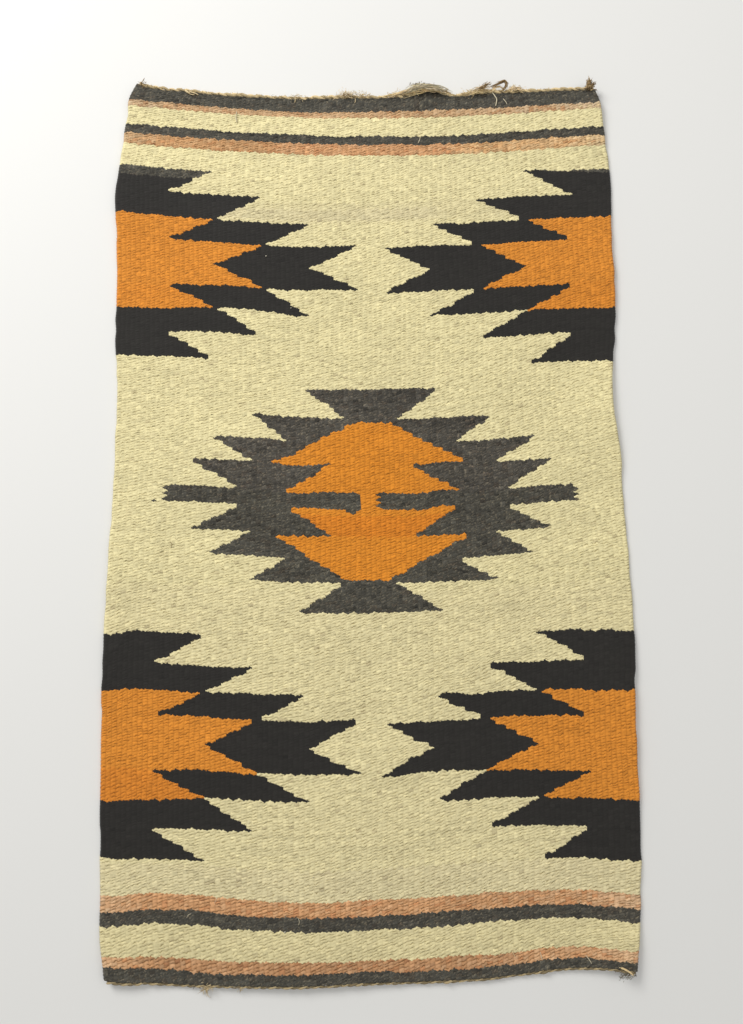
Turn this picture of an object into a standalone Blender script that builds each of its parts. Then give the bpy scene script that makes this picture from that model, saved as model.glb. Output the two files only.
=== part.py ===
"""A small flat-woven wool rug lying on a floor, with a twined cord along each end.

Metres, +Z up. The rug's length runs along Y, its top end at +Y. The origin is on the floor,
under the middle of the whole rug's box.
"""
import math
import random

import bmesh
import bpy
from mathutils import Vector

MM = 0.001

# Driving sizes of the cloth
THICKNESS = 3.6 * MM
TOP_HALF_WIDTH = 217.0 * MM
BOTTOM_HALF_WIDTH = 222.0 * MM
EDGE_ROUNDING = 1.0 * MM
CELLS_ACROSS = 24
CELLS_ALONG = 42

# Driving sizes of the end cords
GAP = 0.3 * MM
TOP_CORD_RADIUS = 1.25 * MM
BOTTOM_CORD_RADIUS = 1.0 * MM
PLY_RIDGE = 0.17
BEAD_LENGTH = 7.0 * MM
STEPS_PER_BEAD = 3
CORD_SIDES = 6
CORD_END_INSET = 2.0 * MM

# Driving sizes of the frayed yarn
STRAND_TAPER = (0.52, 0.42, 0.28)
STRAND_STEPS = (0.30, 0.40, 0.30)
STRAND_FALL = (0.25, 0.75, 0.0)
STRAND_REST_HEIGHT = 0.35 * MM
STUB_SPACING = 9.0 * MM
TOP_STUB_LENGTH = 3.0 * MM
BOTTOM_STUB_LENGTH = 1.6 * MM
STUB_LEAN_DEG = 25.0
TOP_SEED = 11
BOTTOM_SEED = 23

# Selvedges, in mm: how far left and right they lie, at distances along the rug
SIDE_COLUMNS = ("along", "left", "right")
SIDES = (
    (-402, -209, 219),
    (-391, -214, 224),
    (-362, -218, 226),
    (-302, -221, 229),
    (-255, -223, 231),
    (-171, -225.5, 232),
    (-118, -226.5, 233.5),
    (-60, -225.5, 232),
    (-12, -224, 230),
    (61, -223.5, 226),
    (108, -224, 224),
    (155, -227.5, 227),
    (210, -228.5, 228),
    (240, -230, 227),
    (306, -234, 229.5),
    (339, -229, 226.5),
    (361, -225, 225),
    (384, -220.5, 223),
    (400, -216, 216),
)

# Ends of the cloth, in mm: where they lie along the rug, at distances across it
END_COLUMNS = ("across", "along")
TOP_END = (
    (-217, 398),
    (-170, 393.5),
    (-138, 388.5),
    (-100, 385.5),
    (-62, 383.5),
    (14, 385),
    (36, 387),
    (60, 391),
    (82, 388),
    (105, 389),
    (147, 392.5),
    (217, 395),
)
BOTTOM_END = (
    (-222, -393),
    (-200, -395.5),
    (-134, -398),
    (-52, -401.5),
    (13, -399),
    (54, -396.5),
    (95, -393.5),
    (160, -387),
    (193, -388),
    (222, -391.5),
)

# Low swells where the cloth stands off the floor, in mm
SWELL_COLUMNS = ("place", "across", "along", "reach_across", "reach_along", "height")
SWELLS = (
    ("top left corner", -222, 402, 75, 70, 4.5),
    ("top right corner", 222, 398, 70, 75, 4.0),
    ("top edge", 60, 398, 95, 60, 2.5),
    ("left shoulder", -240, 300, 60, 95, 3.0),
    ("right edge, upper", 236, 215, 60, 80, 2.0),
    ("right edge, middle", 236, 85, 60, 75, 4.0),
    ("left edge, lower", -235, -90, 55, 130, 2.5),
    ("right edge, lower", 240, -190, 60, 100, 3.0),
    ("bottom left corner", -222, -400, 75, 65, 3.5),
    ("bottom right corner", 230, -396, 75, 60, 4.0),
    ("bottom edge", -50, -405, 115, 60, 2.5),
    ("upper field", 20, 262, 180, 55, 1.6),
    ("lower field", -30, -232, 190, 60, 1.6),
)

# Frayed clumps, in mm and degrees: where they stand across the end, how wide they are at the
# root and how long, and how their first and last strands lean
TUFT_COLUMNS = ("place", "across", "width", "strands", "length", "first_lean", "last_lean")
TOP_TUFTS = (
    ("left corner wisp", -210, 5, 3, 5, -20, 10),
    ("left clump", 52, 44, 20, 9, -50, 54),
    ("right clump", 114, 25, 12, 9, -36, 46),
    ("right corner tuft", 208, 8, 4, 9, -14, 16),
)
BOTTOM_TUFTS = (
    ("left tuft", -131, 14, 7, 8, -20, 24),
    ("small tuft", -106, 6, 3, 6, -12, 14),
    ("right corner tuft", 212, 15, 7, 6, -18, 26),
)

# Colours and roughness
YARN = {
    "woven_cloth": ((0.76, 0.66, 0.36, 1.0), 0.95),
    "top_end_cord": ((0.50, 0.36, 0.15, 1.0), 0.95),
    "bottom_end_cord": ((0.42, 0.31, 0.14, 1.0), 0.95),
}


def read_curve(rows, columns, name, place):
    """A column of a table, in metres, on a smooth curve through its rows. The first column is
    the place that each row is for."""
    at = min(max(place / MM, rows[0][0]), rows[-1][0])
    col = columns.index(name)
    last = len(rows) - 1
    low = max(i for i in range(last) if rows[i][0] <= at)

    def slope(i):
        before = rows[max(i - 1, 0)]
        after = rows[min(i + 1, last)]
        return (after[col] - before[col]) / (after[0] - before[0])

    step = rows[low + 1][0] - rows[low][0]
    t = (at - rows[low][0]) / step
    start = rows[low][col] * (2 * t**3 - 3 * t**2 + 1) + slope(low) * step * (t**3 - 2 * t**2 + t)
    stop = rows[low + 1][col] * (3 * t**2 - 2 * t**3) + slope(low + 1) * step * (t**3 - t**2)
    return (start + stop) * MM


def lift(x, y):
    """How far the cloth's underside stands off the floor."""
    total = 0.0
    for row in SWELLS:
        swell = dict(zip(SWELL_COLUMNS, row))
        dx = (x / MM - swell["across"]) / swell["reach_across"]
        dy = (y / MM - swell["along"]) / swell["reach_along"]
        total += swell["height"] * max(0.0, 1.0 - dx * dx - dy * dy) ** 2
    return total * MM


def on_cloth(u, v):
    """The place of a point of the cloth, with u across and v along it from -1 to 1."""
    top = read_curve(TOP_END, END_COLUMNS, "along", u * TOP_HALF_WIDTH)
    bottom = read_curve(BOTTOM_END, END_COLUMNS, "along", u * BOTTOM_HALF_WIDTH)
    y = bottom + (top - bottom) * (v + 1.0) / 2.0
    left = read_curve(SIDES, SIDE_COLUMNS, "left", y)
    right = read_curve(SIDES, SIDE_COLUMNS, "right", y)
    x = left + (right - left) * (u + 1.0) / 2.0
    return x, y


def on_rim(u, out):
    """A point half way up the cloth's end, on the straight stretches between its corners."""
    cell = min(int((u + 1.0) / 2.0 * CELLS_ACROSS), CELLS_ACROSS - 1)
    corners = []
    for turn in (cell, cell + 1):
        x, y = on_cloth(2.0 * turn / CELLS_ACROSS - 1.0, out)
        corners.append(Vector((x, y, lift(x, y) + THICKNESS / 2.0)))
    share = (u + 1.0) / 2.0 * CELLS_ACROSS - cell
    return corners[0].lerp(corners[1], share)


def finish_object(bm, name, smooth_deg):
    bmesh.ops.recalc_face_normals(bm, faces=bm.faces)
    mesh = bpy.data.meshes.new(name)
    bm.to_mesh(mesh)
    bm.free()
    mesh.shade_smooth()
    mesh.set_sharp_from_angle(angle=math.radians(smooth_deg))
    obj = bpy.data.objects.new(name, mesh)
    bpy.context.scene.collection.objects.link(obj)
    color, roughness = YARN[name]
    yarn = bpy.data.materials.new(name + "_yarn")
    yarn.use_nodes = True
    shader = yarn.node_tree.nodes["Principled BSDF"]
    shader.inputs["Base Color"].default_value = color
    shader.inputs["Roughness"].default_value = roughness
    shader.inputs["Metallic"].default_value = 0.0
    mesh.materials.append(yarn)
    return obj


def make_woven_cloth():
    """One closed sheet: the underside on the floor, the face above it, rounded at the rim."""
    bm = bmesh.new()
    bmesh.ops.create_grid(bm, x_segments=CELLS_ACROSS, y_segments=CELLS_ALONG, size=1.0)
    raised = bmesh.ops.extrude_face_region(bm, geom=bm.faces[:])
    face_side = [v for v in raised["geom"] if isinstance(v, bmesh.types.BMVert)]
    bmesh.ops.translate(bm, verts=face_side, vec=(0.0, 0.0, 2.0))
    uprights = [e for e in bm.edges if abs(e.verts[0].co.z - e.verts[1].co.z) > 1.0]
    bmesh.ops.subdivide_edges(bm, edges=uprights, cuts=1)

    for vert in bm.verts:
        u, v, level = vert.co
        x, y = on_cloth(u, v)
        z = lift(x, y) + THICKNESS * level / 2.0
        on_rim_band = level == 1.0
        if not on_rim_band:
            if abs(u) == 1.0:
                x -= math.copysign(EDGE_ROUNDING, u)
            if abs(v) == 1.0:
                y -= math.copysign(EDGE_ROUNDING, v)
        vert.co = (x, y, z)
    return finish_object(bm, "woven_cloth", 50.0)


def end_path(half_width, out, radius, share):
    """A point of the cord's middle, from the left selvedge to the right, and the way outward."""
    reach = 1.0 - CORD_END_INSET / half_width
    u = (2.0 * share - 1.0) * reach
    near = BEAD_LENGTH / half_width
    heading = on_rim(min(u + near, reach), out) - on_rim(max(u - near, -reach), out)
    outward = Vector((-heading.y, heading.x, 0.0)).normalized() * out
    widest = radius * (1.0 + PLY_RIDGE)
    return on_rim(u, out) + outward * (widest + GAP), outward


def grow_strand(bm, root, outward, lean_deg, length, rests):
    """Draws one face of the cord out into a strand of tapering steps, leaning sideways."""
    lean = math.radians(lean_deg)
    sideways = Vector((outward.y, -outward.x, 0.0))
    level = (outward * math.cos(lean) + sideways * math.sin(lean)).normalized()
    face = root
    facing = root.normal.copy()
    drop = root.calc_center_median().z - STRAND_REST_HEIGHT if rests else 0.0
    size = 1.0
    for share, fall, taper in zip(STRAND_STEPS, STRAND_FALL, STRAND_TAPER):
        face = bmesh.ops.extrude_discrete_faces(bm, faces=[face])["faces"][0]
        step = level * (length * share) - Vector((0.0, 0.0, drop * fall))
        heading = step.normalized()
        middle = face.calc_center_median()
        turning = facing.rotation_difference(heading).to_matrix()
        bmesh.ops.rotate(bm, verts=face.verts, cent=middle, matrix=turning)
        for vert in face.verts:
            vert.co = middle + (vert.co - middle) * (taper / size) + step
        facing = heading
        size = taper


def cord_faces(bm, steps):
    """The faces of the cord's still flat grid that look outward and half up, by their step."""
    rows = {"outer": CORD_SIDES // 2, "upper": CORD_SIDES // 2 + 1}
    found = {name: {} for name in rows}
    for face in bm.faces:
        middle = face.calc_center_median()
        step = int((middle.x + 1.0) / 2.0 * steps)
        for name, row in rows.items():
            if int((middle.y + 1.0) / 2.0 * CORD_SIDES) == row:
                found[name][step] = face
    return found


def make_end_cord(name, half_width, out, radius, tufts, stub_length, seed):
    """A two-ply twined cord along one end of the cloth, with the frayed yarn fused to it."""
    dice = random.Random(seed)
    length = 2.0 * half_width
    steps = STEPS_PER_BEAD * round(length / BEAD_LENGTH)

    def path(share):
        return end_path(half_width, out, radius, share)

    bm = bmesh.new()
    bmesh.ops.create_grid(bm, x_segments=steps, y_segments=CORD_SIDES, size=1.0)
    faces = cord_faces(bm, steps)
    for vert in bm.verts:
        share = (vert.co.x + 1.0) / 2.0
        around = math.pi * vert.co.y - math.pi / CORD_SIDES
        middle, outward = path(share)
        twist = math.pi * share * length / BEAD_LENGTH
        blunt = min(1.0, 0.55 + 0.45 * min(share, 1.0 - share) * steps / 2.0)
        size = radius * blunt * (1.0 + PLY_RIDGE * math.cos(2.0 * (around - twist)))
        vert.co = middle + outward * (size * math.cos(around))
        vert.co.z += size * math.sin(around)
    bmesh.ops.remove_doubles(bm, verts=bm.verts, dist=0.01 * MM)
    bmesh.ops.holes_fill(bm, edges=bm.edges, sides=CORD_SIDES)
    bmesh.ops.recalc_face_normals(bm, faces=bm.faces)

    taken = set()

    def sprout(step, row, lean, reach, rests):
        """Grows a strand from a free face of the cord."""
        spot = (step, row)
        beside = {(step - 1, row), (step + 1, row), (step, "outer"), (step, "upper")}
        if step in faces[row] and not taken & beside:
            taken.add(spot)
            outward = path((step + 0.5) / steps)[1]
            grow_strand(bm, faces[row][step], outward, lean * out, reach, rests)

    for row in tufts:
        tuft = dict(zip(TUFT_COLUMNS, row))
        for turn in range(tuft["strands"]):
            share = turn / (tuft["strands"] - 1.0)
            across = (tuft["across"] + tuft["width"] * (share - 0.5)) * MM
            step = int((across / half_width + 1.0) / 2.0 * steps)
            lean = tuft["first_lean"] + share * (tuft["last_lean"] - tuft["first_lean"])
            shorter = 0.35 * abs(2.0 * share - 1.0) + 0.15 * dice.random()
            reach = tuft["length"] * MM * (1.0 - shorter)
            sprout(step, ("outer", "upper")[step % 2], lean, reach, True)
    stubs = round(length / STUB_SPACING)
    for turn in range(1, stubs):
        step = round(steps * turn / stubs) + dice.choice((-1, 0, 1))
        lean = STUB_LEAN_DEG * (2.0 * dice.random() - 1.0)
        reach = stub_length * (0.6 + 0.4 * dice.random())
        sprout(step, "outer", lean, reach, False)
    return finish_object(bm, name, 60.0)


def stand_on_origin(objects):
    """Moves all pieces together, so that the origin is under the middle of their box."""
    points = [vert.co for obj in objects for vert in obj.data.vertices]
    low = Vector([min(p[axis] for p in points) for axis in range(3)])
    high = Vector([max(p[axis] for p in points) for axis in range(3)])
    shift = Vector((-(low.x + high.x) / 2.0, -(low.y + high.y) / 2.0, -low.z))
    for obj in objects:
        for vert in obj.data.vertices:
            vert.co += shift
        obj.data.update()


def main():
    for obj in list(bpy.data.objects):
        bpy.data.objects.remove(obj, do_unlink=True)
    cloth = make_woven_cloth()
    top_cord = make_end_cord(
        "top_end_cord", TOP_HALF_WIDTH, 1, TOP_CORD_RADIUS, TOP_TUFTS, TOP_STUB_LENGTH, TOP_SEED
    )
    bottom_cord = make_end_cord(
        "bottom_end_cord", BOTTOM_HALF_WIDTH, -1, BOTTOM_CORD_RADIUS, BOTTOM_TUFTS,
        BOTTOM_STUB_LENGTH, BOTTOM_SEED
    )
    stand_on_origin([cloth, top_cord, bottom_cord])


main()
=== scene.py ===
"""A small hand-woven wool rug lying flat, with a twined cord and frayed warp along each end.

The cloth is charted as a weaver counts it: a rib for each warp, from the left selvedge, and
a float for each turn of weft over it, from the bottom end. The tables are in millimetres from
the cloth's own middle, and one shift carries them to the frame's origin.
"""
import math
import random

import bmesh
import bpy
import numpy as np
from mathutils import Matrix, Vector


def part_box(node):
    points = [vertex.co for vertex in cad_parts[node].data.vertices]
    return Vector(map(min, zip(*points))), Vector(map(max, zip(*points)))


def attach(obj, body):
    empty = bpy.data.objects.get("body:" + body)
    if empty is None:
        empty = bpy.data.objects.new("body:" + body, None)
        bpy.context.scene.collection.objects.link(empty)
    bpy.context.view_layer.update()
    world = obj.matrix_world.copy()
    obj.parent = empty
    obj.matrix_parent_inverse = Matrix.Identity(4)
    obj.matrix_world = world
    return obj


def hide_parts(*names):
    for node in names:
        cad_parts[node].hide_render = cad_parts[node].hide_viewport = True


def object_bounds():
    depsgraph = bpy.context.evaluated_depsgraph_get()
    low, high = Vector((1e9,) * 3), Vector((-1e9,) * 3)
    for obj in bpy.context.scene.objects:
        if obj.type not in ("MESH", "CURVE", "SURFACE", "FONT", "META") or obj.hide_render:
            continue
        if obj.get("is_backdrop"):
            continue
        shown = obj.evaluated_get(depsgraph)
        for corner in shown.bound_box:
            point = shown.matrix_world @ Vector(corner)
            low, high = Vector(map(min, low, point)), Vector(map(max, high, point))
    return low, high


bl_info = {
    "name": "Flat-woven wool rug",
    "version": (1, 0, 0),
    "blender": (4, 5, 0),
    "location": "3D View > Sidebar > Rug",
    "description": "Weaves a flat wool rug with stepped motifs, end cords and loose yarn",
    "category": "Object",
}

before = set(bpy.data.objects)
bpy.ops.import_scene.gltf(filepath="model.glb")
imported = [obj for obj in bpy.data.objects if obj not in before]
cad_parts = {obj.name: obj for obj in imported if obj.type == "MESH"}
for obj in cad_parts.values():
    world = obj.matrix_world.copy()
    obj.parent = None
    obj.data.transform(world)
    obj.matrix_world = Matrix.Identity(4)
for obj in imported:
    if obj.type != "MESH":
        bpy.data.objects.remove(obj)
CAD_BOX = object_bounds()
CLOTH_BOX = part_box("woven_cloth")

MM = 0.001
UP = Vector((0.0, 0.0, 1.0))

# The weave, how finely its ribs and floats are shaped, and its equal bands from the bottom up
RIBS = 103
FLOATS = 320
COLUMNS_PER_RIB = 3
ROWS_PER_FLOAT = 4
BANDS = (
    "cloth_lower_end", "cloth_lower_field", "cloth_middle_field", "cloth_upper_field",
    "cloth_upper_end",
)
BAND_FLOATS = FLOATS // len(BANDS)

# The cut cloth, flat, and the solid cloth's grid
FLAT_WIDTH = 457.0 * MM
FLAT_LENGTH = 800.0 * MM
SOLID_CELLS = (24, 42)
TOP_HALF_WIDTH = 217.0 * MM
BOTTOM_HALF_WIDTH = 222.0 * MM

# Selvedges: how far left and right they lie, at distances along the rug
SIDE_COLUMNS = ("along", "left", "right")
SIDES = (
    (-402, -209, 219),
    (-391, -214, 224),
    (-362, -218, 226),
    (-302, -221, 229),
    (-255, -223, 231),
    (-171, -225.5, 232),
    (-118, -226.5, 233.5),
    (-60, -225.5, 232),
    (-12, -224, 230),
    (61, -223.5, 226),
    (108, -224, 224),
    (155, -227.5, 227),
    (210, -228.5, 228),
    (240, -230, 227),
    (306, -234, 229.5),
    (339, -229, 226.5),
    (361, -225, 225),
    (384, -220.5, 223),
    (400, -216, 216),
)

# Ends of the cloth: where they lie along the rug, at distances across it
END_COLUMNS = ("across", "along")
TOP_END = (
    (-217, 398),
    (-170, 393.5),
    (-138, 388.5),
    (-100, 385.5),
    (-62, 383.5),
    (14, 385),
    (36, 387),
    (60, 391),
    (82, 388),
    (105, 389),
    (147, 392.5),
    (217, 395),
)
BOTTOM_END = (
    (-222, -393),
    (-200, -395.5),
    (-134, -398),
    (-52, -401.5),
    (13, -399),
    (54, -396.5),
    (95, -393.5),
    (160, -387),
    (193, -388),
    (222, -391.5),
)

# The top end without its bulges. The bulges die away over the last few floats.
TOP_LINE = (
    (-217, 398),
    (-138, 389),
    (-62, 384.5),
    (14, 385),
    (105, 388.5),
    (217, 395),
)
BULGE_FLOATS = 7.0

# The eye over the cloth's middle: a swell brings the cloth nearer to it, so the outline, read
# from there, lies a little further in where the cloth is raised
EYE = Vector((5.8, -98.5, 677.6)) * MM

# Low hills, in mm: swells where the cloth stands off the floor, and bows where the weft runs
# higher or lower
HILL_COLUMNS = ("place", "across", "along", "reach_across", "reach_along", "height")
SWELLS = (
    ("top left corner", -222, 402, 75, 70, 4.5),
    ("top right corner", 222, 398, 70, 75, 4.0),
    ("top edge", 60, 398, 95, 60, 2.5),
    ("left shoulder", -240, 300, 60, 95, 3.0),
    ("right edge, upper", 236, 215, 60, 80, 2.0),
    ("right edge, middle", 236, 85, 60, 75, 4.0),
    ("left edge, lower", -235, -90, 55, 130, 2.5),
    ("right edge, lower", 240, -190, 60, 100, 3.0),
    ("bottom left corner", -222, -400, 75, 65, 3.5),
    ("bottom right corner", 230, -396, 75, 60, 4.0),
    ("bottom edge", -50, -405, 115, 60, 2.5),
    ("upper field", 20, 262, 180, 55, 1.6),
    ("lower field", -30, -232, 190, 60, 1.6),
)
BOWS = (
    ("left of the middle", -120, 5, 165, 190, 3.0),
    ("right of the middle", 120, 5, 165, 190, -3.0),
    ("left half of the upper stripes", -115, 350, 110, 85, 1.7),
    ("right half of the upper stripes", 100, 345, 135, 80, -2.4),
    ("top tooth of the upper right motif", 158, 312, 32, 20, 2.6),
    ("upper right arrow, tips", 62, 228, 55, 42, 1.8),
    ("upper left arrow, top", -70, 237, 55, 30, -1.3),
    ("upper left arrow, lower tip", -58, 170, 30, 22, -3.0),
    ("inside the upper left motif", -122, 178, 60, 55, 2.2),
    ("left edge, upper motif", -228, 180, 80, 75, -5.0),
    ("left shoulder of the middle", -110, 72, 80, 55, 1.8),
    ("heart of the middle, left", -62, 28, 34, 45, -2.4),
    ("heart of the middle, right", 76, 5, 30, 75, 2.4),
    ("left of the lower motif", -160, -155, 110, 40, -1.9),
    ("lower right arrow, second tip", 68, -162, 30, 15, 3.0),
    ("lower right arrow, first tip", 116, -144, 26, 14, 2.0),
    ("left edge, lower motif", -210, -252, 80, 35, -5.0),
    ("left of the lower stripes", -160, -340, 70, 60, 2.5),
    ("lower right arrow, inner side", 60, -232, 50, 30, 2.4),
    ("right edge, lower motifs", 228, -212, 130, 115, -6.0),
    ("right side, lower stripes", 172, -298, 75, 122, -3.7),
    ("right end of the lower stripes", 230, -335, 60, 70, -3.0),
    ("left end of the lower stripes", -215, -350, 38, 75, -3.8),
    ("last stripe, right of the middle", 78, -382, 42, 26, 2.6),
    ("left edge, top of the lower motif", -236, -140, 42, 110, -7.5),
    ("left edge, foot of the lower motif", -234, -250, 40, 50, -3.6),
    ("right edge, heart of the lower motif", 232, -164, 45, 24, 2.4),
)

# Where the last floats are drawn out or in, and the end of the cloth bulges or dips
PULLS = (
    ("top left corner", -215, 402, 60, 18, 3.0),
    ("top end, left of the middle", -40, 388, 150, 14, 2.6),
    ("under the left arch", 58, 391, 26, 15, 3.0),
    ("under the right bundle", 112, 391, 28, 15, 1.8),
    ("bottom end, left", -140, -400, 130, 34, -3.6),
    ("bottom end, right", 110, -396, 110, 34, -2.6),
    ("bottom left corner", -212, -396, 42, 40, -3.4),
    ("tip of the top left corner", -219, 400, 15, 12, 4.0),
    ("top end, by the left corner", -192, 396, 26, 13, -2.2),
)

# Where the weft near a selvedge is drawn out or in sideways
SPREADS = (
    ("top left corner", -222, 384, 45, 17, -5.2),
    ("left edge, under the top stripes", -226, 361, 40, 22, -2.0),
    ("left edge, top of the motif", -232, 318, 45, 30, 1.8),
    ("right edge, upper motif", 230, 222, 50, 115, 1.9),
    ("right edge, over the middle", 232, 45, 45, 40, 1.9),
    ("right edge, lower motif and stripes", 232, -305, 50, 95, 2.0),
)

# Yarns, with the heights of their ribs and floats in mm, how dark the painted shade in the creases
# between ribs and between floats is, and how much one float's tone and height differ from the next
YARN_COLUMNS = ("yarn", "rib_height", "float_height", "rib_crease_shade", "float_crease_shade", "uneven")
YARNS = (
    ("cream", 0.12, 0.54, 0.15, 1.15, 0.055),
    ("orange", 0.16, 0.50, 0.35, 1.20, 0.055),
    ("black", 0.16, 0.24, 0.20, 0.30, 0.060),
    ("charcoal", 0.18, 0.44, 0.25, 0.90, 0.170),
    ("rust", 0.20, 0.60, 0.35, 1.70, 0.090),
)
CREAM, ORANGE, BLACK, CHARCOAL, RUST = range(len(YARNS))

# Stripes at the ends, in floats from the bottom end, at the left selvedge and at the right
STRIPE_COLUMNS = ("yarn", "lower_left", "lower_right", "upper_left", "upper_right")
STRIPES = (
    (CHARCOAL, 314.5, 314.7, 321.0, 321.0),
    (RUST, 312.2, 312.2, 314.5, 314.7),
    (CHARCOAL, 301.1, 301.4, 304.7, 304.6),
    (RUST, 296.7, 296.9, 301.1, 301.4),
    (RUST, 21.0, 21.0, 26.1, 26.1),
    (CHARCOAL, 16.5, 16.5, 21.0, 21.0),
    (RUST, 4.2, 2.9, 7.4, 6.7),
    (CHARCOAL, -1.0, -1.0, 4.2, 2.9),
)

# Corner motifs: the side, the first tooth's reach in ribs from the selvedge, the depth of the
# charcoal cap in floats at the selvedge and at the tip, and the nine weft lines that bound the
# eight teeth, from the top
MOTIF_COLUMNS = ("right", "reach", "cap", "cap_at_tip", "lines")
MOTIFS = (
    (False, 20.4, 3.8, 3.2, (288.4, 279.1, 269.0, 260.1, 251.5, 242.6, 233.8, 224.0, 214.0)),
    (True, 17.9, 1.7, 0.0, (287.4, 277.0, 267.8, 258.9, 249.2, 241.2, 231.9, 222.3, 211.3)),
    (False, 19.8, 0.0, 0.0, (113.5, 103.9, 94.9, 85.5, 76.3, 67.9, 58.8, 48.1, 37.7)),
    (True, 18.9, 0.0, 0.0, (112.9, 102.2, 92.9, 84.3, 75.2, 66.4, 57.1, 47.7, 36.6)),
)
TOOTH_RIBS = 10.0
MIDDLE_TOOTH = 4
HEART_RIBS = 20.0

# Upright ends of a shape step in and out by part of a rib, where the shape is wide enough
UPRIGHT_STEP = 0.9
UPRIGHT_WIDTH = 2.0

# The middle motif, from the top: two weft lines, and its left and right edges in ribs at each
SHAPE_COLUMNS = ("yarn", "upper", "lower", "left", "right", "left_below", "right_below")
MIDDLE_SHAPES = (
    (CHARCOAL, 204.2, 192.3, 38.7, 67.0, 48.0, 57.1),
    (CHARCOAL, 193.0, 184.2, 27.9, 77.3, 35.6, 69.6),
    (CHARCOAL, 184.2, 175.9, 19.7, 86.3, 27.6, 77.7),
    (CHARCOAL, 175.9, 165.6, 15.0, 89.8, 25.6, 79.1),
    (CHARCOAL, 165.6, 159.8, 9.8, 94.4, 9.8, 94.4),
    (CHARCOAL, 159.8, 150.0, 26.1, 79.1, 15.6, 88.7),
    (CHARCOAL, 150.0, 141.8, 27.7, 76.9, 19.7, 84.5),
    (CHARCOAL, 141.8, 133.2, 35.6, 68.8, 27.8, 76.9),
    (CHARCOAL, 133.9, 122.5, 47.4, 56.7, 37.6, 66.1),
    (ORANGE, 191.8, 176.3, 49.2, 56.6, 32.0, 72.2),
    (ORANGE, 176.3, 165.5, 44.1, 60.0, 34.0, 70.0),
    (ORANGE, 165.5, 159.9, 49.5, 53.9, 49.5, 53.9),
    (ORANGE, 159.9, 149.8, 35.2, 70.2, 44.2, 59.8),
    (ORANGE, 149.8, 134.4, 32.4, 72.0, 47.4, 55.1),
    (ORANGE, 134.4, 132.9, 51.5, 52.5, 51.5, 52.5),
    (CHARCOAL, 159.9, 158.2, 47.0, 49.2, 47.8, 48.8),
    (CHARCOAL, 160.4, 159.0, 8.0, 9.4, 8.0, 9.4),
)

# Where the dye or the fleece changes: the yarn, weft lines, ribs, and red, green and blue. The
# change dies away over a few ribs beyond them.
FADE_RIBS = 6.0
FADE_COLUMNS = ("yarn", "upper", "lower", "first", "last", "tint")
FADES = (
    (CREAM, 277.0, 269.0, 0, 103, (0.955, 0.950, 0.965)),
    (CREAM, 274.5, 270.0, 20, 64, (0.930, 0.925, 0.960)),
    (CREAM, 130.0, -1.0, 0, 103, (0.975, 0.970, 0.985)),
    (CREAM, 36.0, 26.0, 0, 103, (0.960, 0.955, 0.990)),
    (ORANGE, 192.0, 132.0, 28, 76, (1.000, 0.970, 0.720)),
    (ORANGE, 157.0, 149.8, 30, 76, (0.985, 0.900, 0.850)),
    (ORANGE, 67.5, 36.0, 0, 30, (0.985, 0.915, 0.860)),
    (ORANGE, 242.0, 230.0, 0, 103, (1.000, 0.975, 0.930)),
    (CHARCOAL, 204.0, 165.0, 10, 95, (1.060, 1.030, 1.060)),
    (RUST, 316.0, 312.0, 0, 103, (0.870, 1.020, 1.130)),
    (RUST, 305.0, 296.0, 0, 30, (0.860, 0.900, 0.870)),
    (RUST, 305.0, 296.0, 74, 103, (1.070, 1.180, 1.140)),
    (CREAM, 17.0, 2.0, 0, 103, (0.960, 0.955, 0.940)),
    (RUST, 7.6, 2.0, 12, 78, (0.840, 0.840, 0.860)),
)

# Odd floats: the yarn, between which shares of its floats, and red, green and blue
STREAK_COLUMNS = ("yarn", "first", "last", "tint")
STREAKS = (
    (CREAM, 0.0, 0.012, (0.78, 0.76, 0.76)),
    (CREAM, 0.965, 1.0, (0.93, 0.92, 0.92)),
    (CHARCOAL, 0.0, 0.16, (1.22, 1.20, 1.16)),
    (CHARCOAL, 0.90, 1.0, (1.05, 0.97, 0.92)),
    (RUST, 0.0, 0.14, (0.93, 0.84, 0.80)),
)

# How dye takes unevenly: from pick to pick, and in patches across and along the cloth
PICK_UNEVEN = 0.35
PATCH_UNEVEN = 0.7
DYE_PATCHES = (9, 40)
DYE_RANGE = (0.3, 2.0)

# Rust that has faded towards cream: within some ribs of a selvedge, and less from one rib to
# another at the right. Chance adds to a float's share or takes from it, up to a most.
RUST_TO_CREAM = (1.14, 1.50, 1.95)
RUST_EDGE_RIBS = 9.0
RUST_RIGHT_RIBS = (60.0, 90.0)
RUST_RIGHT = 0.4
RUST_FADED = 0.55
RUST_CHANCE = 0.5
RUST_KEPT = 0.55
RUST_MOST = 0.75

# Hand weaving strays: hills and hollows across and along the cloth in the warps' and the wefts'
# strayings and in how floats crowd. The strayings die away over a share of it at each end.
WARP_HILLS = (34, 70)
WEFT_HILLS = (26, 90)
CROWD_HILLS = (RIBS, 190)
END_SHARE = 0.04

# How much a plump float's height differs from the next, and the plumpest
PLUMP = 0.38
PLUMPEST = 2.0

# Noise in the wool: its cells to a rib across and to a float along, its layer and its detail
GRAINS = {
    "crowd": (1.3, 0.9, 7.0, 1.0),
    "fibre": (1.6, 7.0, 0.0, 2.0),
    "slub": (0.9, 1.5, 5.0, 2.0),
    "depth": (0.9, 0.8, 21.0, 1.0),
    "hair": (1.9, 1.9, 11.0, 3.0),
}

# How far a crease slants across its rib, and the fibres' twist across it, in floats
FLOAT_SLANT = 0.45
FIBRE_TWIST = 0.75

# The shares of red, green and blue that the painted shade in creases keeps, and the pale hairs carded
# into charcoal
CREASE_SHADE_SHARES = (0.40, 0.35, 0.25)
PALE_HAIR = (131, 121, 100)
WOOL_SPECULAR = 0.25

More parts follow.
